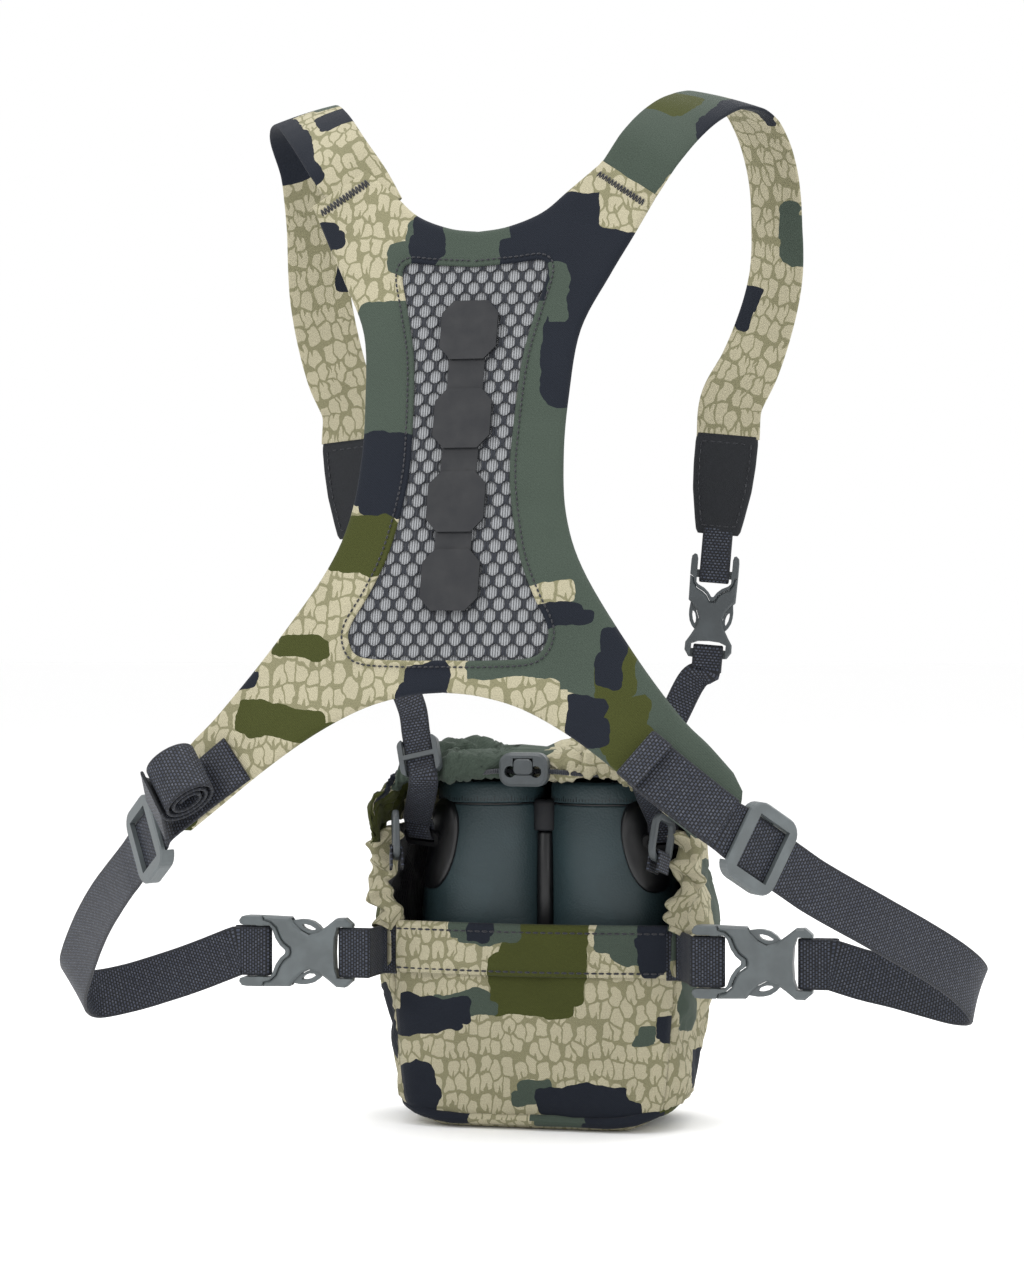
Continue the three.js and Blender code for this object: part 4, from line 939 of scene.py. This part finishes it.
# Each side's webbing after its slider: points, and the direction across the webbing there.
SIDE_LOOPS = {
    "left": [([186, -118, 119], [0.45, 0.2, 0.87]), ([207, -88, 97], [0.5, 0.05, 0.86]),
             ([222, -62, 77], [0.53, 0, 0.85]), ([225, -48, 70], [0.5, 0, 0.87]),
             ([220, -33, 67], [0.3, 0, 0.95]),
             ([206, -25, 69.5], [0.1, 0, 1]), ([188, -23, 75], [0, 0, 1]), ([172, -22.95, 80.5], [0, 0, 1])],
    "right": [([186, -122, 122], [0.32, 0.25, 0.91]), ([208, -93, 105.5], [0.3, 0.12, 0.94]),
              ([220, -75, 95], [0.3, 0.05, 0.95]), ([227, -61, 86.5], [0.3, 0, 0.95]),
              ([228.5, -51, 81], [0.28, 0, 0.96]), ([225, -42, 77.5], [0.24, 0, 0.97]),
              ([216, -33, 76.5], [0.16, 0, 0.98]), ([203, -26, 78.5], [0.06, 0, 1]),
              ([188, -23, 82], [0, 0, 1]), ([172, -22.95, 85.5], [0, 0, 1])],
}


def build_side_strap(name, side):
    """One webbing from the wing, through the slider and round the body to the buckle's outer bar."""
    wing = [on_wing(d)[:2] for d in (0, 12, 24, 35, 46)]
    tip = on_wing(46)[0]
    straight = [(tip + SLIDER_DIR * d, SLIDER_ACROSS) for d in (4, 14, 30, 44, 56)]
    free = SIDE_LOOPS[name]
    edge = SOCKET_BAR if side > 0 else PLUG_BAR
    outward = 1 if side > 0 else -1
    buckle = Place([side * BUCKLE_X, BUCKLE_Y, BELT_Z], [1, 0, 0], [0, -1, 0])
    fold = buckle.fold(edge, SIDE_BAR, outward, 14, BELT_THICK)[::-1]
    last = [(flipped(fold[0], side), [0, 0, 1])]
    run = smooth_path([[*p, *a] for p, a in wing + straight + free + last], 2.4)
    path = np.vstack([flipped(run[:-1, :3], side), fold])
    across = np.vstack([flipped(run[:-1, 3:], side), np.repeat([[0, 0, 1.0]], len(fold), 0)])
    across = across * np.sign(across[:, 2:3])
    moving = "side_plug_left" if side < 0 else "side_socket_right"
    web = strap("side_strap_web_" + name, path, across, BELT_WIDTH, BELT_THICK, M["web25"], None,
                wave=0.35, seed=side * 2.0,
                replaces=["side_strap_" + name, "buckle_web_" + name], slot="webbing")
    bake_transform(web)
    tip_at = fold[-1]
    folds = ((-9, 1.5), (-3, 1.6), (1.2, 1.9), (2.4, 0.6), (1.6, -0.4))
    folded = [tip_at + [side * x, y, 0] for x, y in folds]
    strap("side_strap_end_" + name, smooth_path(np.array(folded), 0.8), [0, 0, 1],
          25, 1.3, M["web25"], moving,
          slot="webbing")


def build_band_tail(name, side):
    """Pouch webbing: out of the band and round the buckle's inner bar."""
    buckle = Place([side * BUCKLE_X, BUCKLE_Y, BELT_Z], [1, 0, 0], [0, -1, 0])
    edge, inward = (SOCKET_BAR, 1) if side < 0 else (PLUG_BAR, -1)
    fold = buckle.fold(edge, SIDE_BAR, inward, 13, BELT_THICK)
    seat = np.array([side * 76.2, float(panel_y(75, BELT_Z)) - 2.2, BELT_Z])
    towards = (fold[-1] + seat) / 2 + [side * 0.5, 1.5, 0]
    lead = smooth_path(np.array([fold[-1], towards, seat, seat - [side * 6, 1.1, 0]]), 1.6)
    strap("band_webbing_" + name, np.vstack([fold[:-1], lead]), [0, 0, 1], BELT_WIDTH, BELT_THICK,
          M["web25"], "harness",
          replaces=["band_tail_" + name], slot="webbing")


def build_spare_webbing():
    """Folded flat along the right wing, rolled up on the left wing."""
    run = np.array([on_wing(d, 2.3)[0] for d in np.linspace(-4, 43, 26)])
    across = np.array([on_wing(d, 2.3)[1] for d in np.linspace(-4, 43, 26)])
    out, along = on_wing(-4)[2:]
    folds = ((9, 3.2), (4, 3.1), (-0.6, 2.5), (-1.6, 1.2), (-0.9, 0.2))
    hem = [run[0] + along * x + out * z for x, z in folds]
    path = smooth_path(np.vstack([hem, run[2:]]), 1.6)
    spread = np.linspace(0, len(path), len(across))
    across = np.stack([np.interp(np.arange(len(path)), spread, across[:, c]) for c in range(3)], 1)
    strap("strap_tail_web_right", path, across, BELT_WIDTH, 1.5, M["web25"], "harness",
          replaces=["strap_tail_right"],
          slot="webbing")

    seat, axis, out, along = on_wing(23, 15.6)
    turns = np.linspace(0.15, 3.1, 110)
    angle = 2 * np.pi * turns
    radius = 3.4 + 2.75 * turns + 0.5 * np.sin(angle * 2 + 1)
    wide, tall = (radius * np.cos(angle) * 1.12)[:, None], (radius * np.sin(angle) * 0.94)[:, None]
    roll = seat + along * wide + out * tall
    last = seat + along * 24 - out * 12.6
    foot = np.linspace(roll[-1], last, 3)[1:]
    path = flipped(smooth_path(np.vstack([roll, foot]), 1.4), -1)
    strap("strap_roll_web_left", path, flipped(axis, -1), BELT_WIDTH, 1.5, M["web25"], "harness",
          replaces=["strap_roll_left"], slot="webbing")


# ---------------------------------------------------------------- pouch
def half_width(z):
    return 70 + 10 * np.minimum(1, np.asarray(z, float) / 104) ** 0.7


def panel_y(x, z):
    across = 1 - (np.asarray(x, float) / 78) ** 2
    return 3.2 - 6.5 * across * (0.45 + 0.55 * np.sin(np.pi * np.minimum(np.asarray(z, float) / 96, 1)))


def tuck(z):
    """How far the walls pull in towards the base seam at height z."""
    low = np.clip(1 - np.asarray(z, float) / 20, 0, 1)
    return 7.5 * (1 - np.sqrt(1 - 0.96 * low ** 2))


def seam_z(x):
    """Height of the base seam, which climbs at the corners."""
    return 4.6 + 8.0 * np.clip((np.abs(x) - 38) / 32, 0, 1) ** 2


def wall_curve(z, start, offset=0.0):
    """Plan of the pouch at height z, from angle `start` round the front to 180 - start."""
    a = np.radians(np.linspace(start, 180 - start, 1600))
    def squared(v):
        return np.sign(v) * np.abs(v) ** (1 / 3)
    x = (half_width(z) + offset) * squared(np.cos(a))
    y = 39 + (40 + offset) * squared(np.sin(a))
    return np.stack([x, y, np.full_like(x, z)], 1)


def even(curve, count):
    run = lengths(curve)
    at = np.linspace(0, run[-1], count)
    return np.stack([np.interp(at, run, curve[:, k]) for k in range(3)], 1)


def build_walls():
    rows, columns = 44, 130
    heights = np.linspace(3.5, 152.2, rows)
    points, uv = [], []
    for z in heights:
        rise = np.clip((z - 104) / 24, 0, 1)
        curve = even(wall_curve(z, -35 + 23 * rise, -float(tuck(z))), columns)
        run = lengths(curve)
        points.append(curve)
        uv.append(np.stack([run[-1] / 2 - run, np.full(columns, z)], 1))
    points, uv = np.array(points), np.array(uv)
    normal = -normals_of(points)
    z = points[..., 2]
    belly = 4.6 * np.sin(np.pi * np.clip(z / 150, 0, 1)) ** 0.8 * np.clip((points[..., 1] - 6) / 16, 0, 1)
    folds = fold_noise(points * (1, 1, 0.45), 22, 2.6, 5.0) * np.clip((z - 2) / 25, 0, 1)
    points = points + normal * (belly + folds)[..., None]
    points[..., 2] = np.maximum(points[..., 2], seam_z(points[..., 0]) - 0.6)
    obj = grid("pouch_walls_cloth", points, uv, M["wall"], "harness", replaces=["pouch_shell"],
               slot="camo_fabric")
    v, u = np.meshgrid(np.linspace(0, 1, rows), np.linspace(0, 1, columns), indexing="ij")
    crumple(obj, np.clip(1 - np.minimum.reduce([v, 1 - v, u * 3, (1 - u) * 3]) * 14, 0, 1), 0.035, 0.6, 5.0)
    solidify(obj, 1.6, M["inside"])


def build_back_panel():
    rows, columns = 46, 60
    heights = np.linspace(3.0, BACK_TOP, rows)
    points, uv = [], []
    for z in heights:
        edge = half_width(z) * 0.94 - float(tuck(z)) * 1.1
        x = np.linspace(-edge, edge, columns)
        y = panel_y(x, z)
        y += (5.8 - y) * np.clip((np.abs(x) - edge + 9) / 9, 0, 1) ** 2.5
        y += 5.0 * np.clip(1 - z / 14, 0, 1) ** 2
        points.append(np.stack([x, y, np.full(columns, z)], 1))
        uv.append(np.stack([x, np.full(columns, z)], 1))
    points = np.array(points)
    calm = np.clip((BACK_TOP - points[..., 2]) / 30, 0.1, 1)
    points[..., 1] += fold_noise(points * (1, 1, 1.4), 30, 1.5, 1.0) * calm
    points[..., 2] = np.maximum(points[..., 2], seam_z(points[..., 0]) - 0.6)
    obj = grid("pouch_back_cloth", points, np.array(uv), M["pouch"], "harness", replaces=["pouch_back"],
               slot="camo_fabric")
    solidify(obj, 1.8, M["inside"], -1.0)

    foot, top, half = 79.0, 104.6, 75.0
    section = [(top - 0.4, 0.6), (top, -0.6), (top - 0.2, -1.9), (top - 1.2, -2.6)]
    section += [(z, -2.7) for z in np.linspace(top - 2.4, foot + 1.5, 14)]
    section += [(foot + 0.3, -2.2), (foot, -1.0)]
    rows = []
    x = np.linspace(-half, half, 70)
    for z, t in section:
        rows.append(np.stack([x, panel_y(x, min(z, BACK_TOP)) + t, np.full(70, z)], 1))
    points = np.array(rows)
    for line in (top - 3.4, foot + 2.2):
        points[..., 1] += 0.55 * np.exp(-((points[..., 2] - line) / 0.9) ** 2)
    points[..., 1] += fold_noise(points, 24, 0.5, 6.0)
    points[..., 2] += -0.6 * np.cos(points[..., 0] / 75 * np.pi / 2)     # the band sags a little
    uv = np.stack([points[..., 0], points[..., 2]], -1)
    band = grid("pouch_band_cloth", points, uv, M["pouch"], "harness", flip=True, replaces=["pouch_band"],
                slot="camo_fabric")
    solidify(band, 0.5, offset=1.0)
    for tag, z in (("top", top - 3.6), ("foot", foot + 2.0)):
        x = np.linspace(-half + 1, half - 1, 160)
        line = np.stack([x, panel_y(x, z) - 3.0, np.full(160, z) - 0.6 * np.cos(x / 75 * np.pi / 2)], 1)
        stitches("band_stitching_" + tag, line, [0, -1, 0], "harness", 3.0, 0.8, 0.5)


def build_base():
    ring = wall_curve(5, -90, -2.2)
    ring = np.vstack([ring, ring[:1]])
    ring[:, 1] = np.maximum(ring[:, 1], -0.4)
    path = smooth_path(resample(ring, 9.0), 2.5)
    path[:, 2] = seam_z(path[:, 0]) + fold_noise(path, 26, 0.5, 2.0)
    radius = 2.9 + fold_noise(path, 12, 0.35, 4.0)
    turn = float(lengths(path)[-1])
    cloth = camo("camo_piping", [(ink, at * turn, 9, half * turn, 16, 0) for ink, at, half in PIPING_BLOBS])
    tube("base_piping_cloth", path, radius, cloth, "harness", 12, True, replaces=["base_piping"],
         slot="camo_fabric")
    rows = []
    steps = ((0, 1.0), (2.4, 0.99), (4.0, 0.96), (6.5, 0.9), (9, 0.8), (12, 0.6), (14, 0.3), (14, 0.02))
    for drop, scale in steps:
        curve = even(wall_curve(5, -90, -3.6), 120)
        curve[:, 1] = np.maximum(curve[:, 1], 0.8)
        height = np.maximum(seam_z(curve[:, 0]) - drop, 0)
        curve[:, :2] = [0, 39] + (curve[:, :2] - [0, 39]) * scale
        curve[:, 2] = height
        rows.append(curve)
    points = np.array(rows)
    grid("pouch_base_cloth", points, points[..., :2], M["wall"], "harness",
         flip=True, replaces=["pouch_base"],
         slot="camo_fabric")


# ---------------------------------------------------------------- hood
HOOD_PROFILE = [[79.6, 0], [79, 0.34], [70, 0.8], [45, 1], [16, 1.0], [-2, 0.95]]


def hood_surface(u, v, profile):
    """A point of the hood: u runs along the rim from left to right, v from the front edge to the rim."""
    a = np.pi * u
    rise = np.sin(a) ** 0.55
    share = min(v, 1.0)
    middle = profile[int(round(share * (len(profile) - 1)))]
    y = (79.6 - 73 * share) * (1 - rise) + middle[0] * rise
    half = 79 * (0.72 + share if share < 0.3 else 1.02)
    c = np.cos(a)
    x = -half * np.sign(c) * np.abs(c) ** 0.55
    return np.array([x, y, HOOD_START_Z + middle[1] * rise * HOOD_RISE]), rise


def clear_rings(obj):
    """Press the hood's hanging ends outward, out of the room where the gate rings swing."""
    flat = np.zeros(len(obj.data.vertices) * 3)
    obj.data.vertices.foreach_get("co", flat)
    co = flat.reshape(-1, 3)
    for side, name in ((-1, "left"), (1, "right")):
        low, high = (np.array(c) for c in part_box("gate_ring_" + name))
        room = max(abs(low[0]), abs(high[0])) + 0.0065
        past = np.maximum(co[:, 2] - high[2] - 0.002, 0) + np.maximum(co[:, 1] - high[1] - 0.003, 0)
        short = room - side * co[:, 0]
        share = np.clip(1 - past / 0.008, 0, 1) * ((short > 0) & (short < 0.016))
        co[:, 0] += side * short * share * share * (3 - 2 * share)
    obj.data.vertices.foreach_set("co", co.ravel())
    obj.data.update()


def build_hood():
    columns, rows, curl = 150, 46, 16
    profile = flat_spline(HOOD_PROFILE, 400)
    us = np.linspace(0.0015, 0.9985, columns)
    points, uv = [], []
    for v in np.linspace(0, 1, rows):
        points.append([hood_surface(u, v, profile)[0] for u in us])
        uv.append([((u - 0.5) * 230, 95 * v) for u in us])
    rim = np.array(points[-1])
    rises = np.array([hood_surface(u, 1.0, profile)[1] for u in us])
    left_lobe = 7.0 * np.exp(-((us - 0.08) / 0.07) ** 2)
    roll = 2.8 + 2.9 * rises + left_lobe + 2.5 * np.exp(-((us - 0.93) / 0.06) ** 2)
    for k, angle in enumerate(np.linspace(0, np.radians(265), curl + 1)[1:]):
        ring = rim.copy()
        ring[:, 1] -= roll * np.sin(angle)
        ring[:, 2] -= roll * (1 - np.cos(angle)) * 1.15
        points.append(ring)
        uv.append([((u - 0.5) * 230, 95 + 1.6 * (k + 1)) for u in us])
    points, uv = np.array(points), np.array(uv)
    normal = -normals_of(points)
    v = np.concatenate([np.linspace(0, 1, rows), np.full(curl, 1.0)])[:, None]
    u = us[None, :]
    near_rim = np.clip((v - 0.45) / 0.55, 0, 1) ** 1.6
    pleat = np.sin(2 * np.pi * (u * 27 + 0.7 * np.sin(u * 21) + 0.3 * v)) * (0.55 + 0.45 * np.sin(u * 37 + 1))
    crimp = np.where(u > 0.53, 1.35 - 1.1 * np.clip((u - 0.78) / 0.1, 0, 1), 0.75)
    shape = pleat * near_rim * crimp * 1.7
    folds = fold_noise(points, 27, 4.2, 11.0) * np.clip(v * 3, 0, 1)
    fine = fold_noise(points * (1.0, 0.5, 0.5), 9, 1.5, 4.0) * near_rim
    lock = 1 - 0.85 * np.exp(-((u - 0.5) / 0.05) ** 2)
    points = points + normal * ((shape + folds + fine) * lock)[..., None]
    obj = grid("hood_cloth", points, uv, M["hood"], "hood", flip=True, replaces=["hood"], slot="camo_fabric")
    hold = np.clip(1 - np.minimum(v * 6, 1), 0, 1) + np.clip(1 - np.minimum(u, 1 - u) * 30, 0, 1)
    hold = np.maximum(hold, 0.9 * np.exp(-((u - 0.5) / 0.04) ** 2) * (v > 0.8))
    hold[rows + 4:] = 0.9
    crumple(obj, np.clip(hold, 0, 1), 0.16, 0.5, 9.0, 0.05)
    clear_rings(obj)
    solidify(obj, 1.2, M["inside"])
    # the hanging ends are printed on both faces: slot 2 outside and slot 3 inside
    for _ in range(2):
        obj.data.materials.append(M["hood"])
    for face in obj.data.polygons:
        if abs(face.center.x) > 0.060:
            face.material_index = PRINTED_SLOT


def build_gather(name, side):
    """Scrunched elastic edge between the back panel's corner and the hood."""
    edge = np.array([[74, 1.5, 101.5], [76, 2.5, 108], [78.5, 4.0, 118], [80, 6.5, 128],
                     [80, 8.0, 138], [78, 8, 151]])
    path = flipped(smooth_path(edge, 0.6), side)
    run = lengths(path)
    turn = np.linspace(0, 2 * np.pi, 49)
    rows = []
    for p, s in zip(path, run):
        wander = 2.0 * np.sin(s * 0.3 + side) + 0.8 * np.sin(s * 0.71)
        fold = np.sin(s * 0.44 + 1.3 * np.sin(turn + side) + 0.8 * np.sin(2 * turn + s * 0.06))
        lobe = 0.7 * np.sin(3 * turn + s * 0.21 + side) + 0.45 * np.sin(s * 0.95 + 2 * turn)
        radius = 5.0 + 1.3 * fold + lobe
        lift = 1.6 * np.sin(turn * 2 + s * 0.2)
        rows.append(p + np.stack([radius * np.cos(turn) * 1.2 + wander, radius * np.sin(turn), lift], 1))
    uv = np.array([[(a * 6, s * 1.25) for a in turn] for s in run])
    obj = grid("side_gather_cloth_" + name, np.array(rows), uv, M["gather"], "harness", flip=True,
               replaces=["side_gather_" + name], slot="camo_fabric")


def build_hood_cord():
    half = np.array([[0, -10.7, 182.5], [8, -10.7, 182.5], [15, -10.2, 182.4], [22, -6.5, 181.6],
                     [31, -1.5, 180.8], [43, 1, 180.6]])
    control = np.vstack([half[:0:-1] * (-1, 1, 1), half])
    path = smooth_path(control, 1.5)
    obj = tube("hood_elastic_cord", path, 1.3, M["cord"],
               "hood", 10, replaces=["hood_cord"], slot="elastic_cord")


# ---------------------------------------------------------------- gate rings and binoculars
def build_gate_web(name, side):
    ring = Place([69, -6, 149], [0.1, 0.25, 0.96], [0.95, -0.3, 0])
    loop = ring.fold(-8.5, 1.7, -1, 8, 1.4)
    strap("gate_webbing_" + name, flipped(loop, side), flipped(ring.across, side), 12, DROP_THICK, M["web15"],
          "harness",
          replaces=["gate_web_" + name], slot="webbing")


def lathe(name, centre, profile, material, body, sides=64, **more):
    turn = np.linspace(0, 2 * np.pi, sides + 1)
    profile = np.asarray(profile, float)
    points = np.stack([centre[0] + profile[:, None, 0] * np.cos(turn),
                       centre[1] + profile[:, None, 0] * np.sin(turn),
                       np.repeat(profile[:, 1:], sides + 1, 1)], -1)
    uv = np.stack([np.broadcast_to(turn * 26, points.shape[:2]), points[..., 2]], -1)
    return grid(name, points, uv, material, body, **more)


BARREL_FIT = np.array([          # height, centre from the midline (left, right), half width, half depth
    [4.8, 34.0, 35.0, 26.0, 22.0], [5.6, 34.0, 35.0, 29.0, 25.0], [12, 34.0, 35.2, 31.8, 26.6],
    [30, 34.2, 35.4, 33.0, 27.4], [70, 34.4, 35.8, 33.6, 27.8], [105, 34.4, 35.6, 33.6, 27.8],
    [122, 33.6, 34.6, 32.6, 27.8], [135, 32.0, 33.0, 31.2, 27.6], [148, 30.6, 31.2, 29.8, 27.2],
    [158, 30.0, 30.4, 28.9, 26.8], [163.2, 30.0, 30.2, 28.4, 26.6], [164.0, 30.0, 30.2, 27.6, 26.0],
])
BARREL_Y = 45.5


def barrel_point(side, z, angle, lift=0.0):
    """A point of a barrel's skin; angle 0 faces outwards, -90 degrees faces the back panel."""
    x, rx, ry = (np.interp(z, BARREL_FIT[:, 0], BARREL_FIT[:, k]) for k in (1 if side < 0 else 2, 3, 4))
    return np.stack(np.broadcast_arrays(side * (x + (rx + lift) * np.cos(angle)),
                                        BARREL_Y + (ry + lift) * np.sin(angle), z), -1)


def build_binoculars():
    for name, side in SIDES:
        z = np.concatenate([np.linspace(4.8, 12, 12), np.linspace(13, 160, 60), np.linspace(161, 164, 10)])
        turn = np.linspace(0, 2 * np.pi, 97) * side
        rows = barrel_point(side, z[:, None], turn[None, :])
        centre = rows.mean(1, keepdims=True)
        rows = np.concatenate([np.repeat(centre[:1], 97, 1), rows, np.repeat(centre[-1:], 97, 1)])
        grid("barrel_" + name, rows, np.zeros(rows.shape[:2] + (2,)), M["armour"], "harness",
             replaces=["bino_barrel_" + name], slot="armour_rubber")
        centre = (side * 30.1, BARREL_Y)
        ring = [(0, 164.7), (27.4, 164.7), (28.2, 165.3), (28.3, 172.0), (27.8, 174.4), (26.4, 175.8),
                (23, 176), (21.8, 175), (21.4, 171), (0, 171)]
        obj = lathe("focus_ring_" + name, centre, ring, M["armour"], "harness", 96,
                    replaces=["bino_eyecup_" + name], slot="armour_rubber")
        bevel = obj.modifiers.new("edges", "BEVEL")
        bevel.width, bevel.segments = 0.0003, 2
        gap = [(0, 163.6), (27.2, 163.6), (27.2, 164.9), (0, 164.9)]
        lathe("ring_gap_" + name, centre, gap, M["black"], "harness")
        ticks(name, centre)
        fairing(name, side)
    knob = [(0, 150), (6.2, 150), (6.8, 151), (6.8, 164), (6.0, 166), (0, 166)]
    lathe("focus_knob", (0.5, 36), knob, M["rubber"], "harness", 40)
    spine = [(0, 8), (4.6, 8), (4.6, 148), (3.6, 150), (0, 150)]
    lathe("bridge_spine", (0.3, 36), spine, M["black"], "harness", 24,
          replaces=["bino_bridge"], slot="black_plastic")


def ticks(name, centre):
    """Engraved scale round the lower edge of the top ring."""
    points, faces = [], []
    for k, a in enumerate(np.radians(np.arange(195, 346, 3.6))):
        tall = 2.6 if k % 5 == 0 else 1.5
        radial, along = np.array([np.cos(a), np.sin(a)]), np.array([-np.sin(a), np.cos(a)])
        first = len(points)
        for z in (165.6, 165.6 + tall):
            for s in (-0.13, 0.13):
                for r in (28.1, 28.42):
                    xy = np.array(centre) + radial * r + along * s
                    points.append([*xy, z])
        sides = ((0, 1, 3, 2), (4, 6, 7, 5), (1, 5, 7, 3), (0, 4, 5, 1), (2, 3, 7, 6))
        faces += [tuple(first + n for n in f) for f in sides]
    piece("ring_scale_" + name, np.array(points), faces, M["black"], "harness", smooth=False)


def fairing(name, side):
    """Moulded strap lug wrapped round the outer back of a barrel."""
    rows, columns = 34, 36
    v = np.linspace(0, 1, rows)[:, None]
    turn = np.linspace(0, 2 * np.pi, columns)[None, :]
    swell = np.sin(v * np.pi / 2)
    reach = [np.abs(v) ** 0.75 * np.sign(v) for v in (np.cos(turn), np.sin(turn))]
    z = 143 + 24 * swell * reach[1]
    half = np.radians(27) * swell * (1 - 0.12 * np.clip(-reach[1], 0, 1))
    angle = np.radians(-40) + half * reach[0]
    lift = 3.6 * np.cos(v * np.pi / 2) ** 0.35 - 0.6 + 1.2 * np.exp(-((z - 158) / 7) ** 2) * (1 - v ** 4)
    points = barrel_point(side, z, angle, lift)
    obj = grid("lug_fairing_" + name, points, np.zeros(points.shape[:2] + (2,)), M["black"], "harness",
               flip=side < 0)
    soften(obj)


# ---------------------------------------------------------------- assembly
build_yoke()
build_window_net()
finish_hard("yoke_emblem", M["rubber"], 0.5)
for NAME, SIDE in SIDES:
    build_shoulder(NAME, SIDE)
    build_drop(NAME, SIDE)
    build_side_strap(NAME, SIDE)
    build_band_tail(NAME, SIDE)
    build_gather(NAME, SIDE)
    build_gate_web(NAME, SIDE)
    for node in ("side_buckle_plug", "side_buckle_prong_a", "side_buckle_prong_b", "side_buckle_socket",
                 "slider"):
        finish_hard(f"{node}_{NAME}", M["grey"], 0.5)
    for node in ("shoulder_buckle_plug", "shoulder_buckle_socket", "ladder_lock", "gate_ring"):
        finish_hard(f"{node}_{NAME}", M["dark"], 0.35)
    finish_hard("bino_lug_" + NAME, M["black"], 0.3)
finish_hard("cord_lock", M["dark"], 0.4)
finish_hard("cord_lock_button", M["dark"], 0.4)
build_spare_webbing()
build_walls()
build_back_panel()
build_base()
build_hood()
build_hood_cord()
build_binoculars()


# ---------------------------------------------------------------- camera, light and floor
def build_stage():
    mesh = bpy.data.meshes.new("floor")
    low = CAD_BOX[0][2] - 0.0003
    far = 30                      # metres, so that its edge shows in no view
    corners = [(-far, -far, low), (far, -far, low), (far, far, low), (-far, far, low)]
    mesh.from_pydata(corners, [], [(0, 1, 2, 3)])
    s = Shader("floor_paper", 0.9)
    s.colour((0.995, 0.995, 0.995, 1))
    mesh.materials.append(s.mat)
    floor = bpy.data.objects.new("floor", mesh)
    SCENE.collection.objects.link(floor)
    world = bpy.data.worlds.new("studio")
    world.use_nodes = True
    world.node_tree.nodes["Background"].inputs[0].default_value = (1, 1, 1, 1)
    world.node_tree.nodes["Background"].inputs[1].default_value = 1.0
    SCENE.world = world
    lights = (("key", (-1.1, -1.5, 1.3), 0.9, 21), ("fill", (1.6, -1.0, 0.5), 1.2, 8),
              ("top", (0.0, 0.1, 1.7), 1.0, 18), ("back", (0.7, 1.7, 0.9), 1.2, 10))
    for name, place, size, power in lights:
        lamp = bpy.data.lights.new(name, "AREA")
        lamp.size, lamp.energy = size, power
        obj = bpy.data.objects.new(name, lamp)
        SCENE.collection.objects.link(obj)
        obj.location = place
        obj.rotation_euler = (Vector((0, 0.05, -0.08)) - Vector(place)).to_track_quat("-Z", "Y").to_euler()


def build_camera():
    camera = bpy.data.cameras.new("camera")
    camera.lens = 83.1
    obj = bpy.data.objects.new("camera", camera)
    SCENE.collection.objects.link(obj)
    obj.location = to_frame([328.5, -1463.6, 248.7])
    turn = math.radians(13)
    look = Vector((-math.sin(turn), math.cos(turn), 0))
    obj.rotation_euler = look.to_track_quat("-Z", "Y").to_euler()
    camera.clip_start, camera.clip_end = 0.05, 90
    SCENE.camera = obj


build_stage()
build_camera()
SCENE.view_settings.view_transform = "Standard"
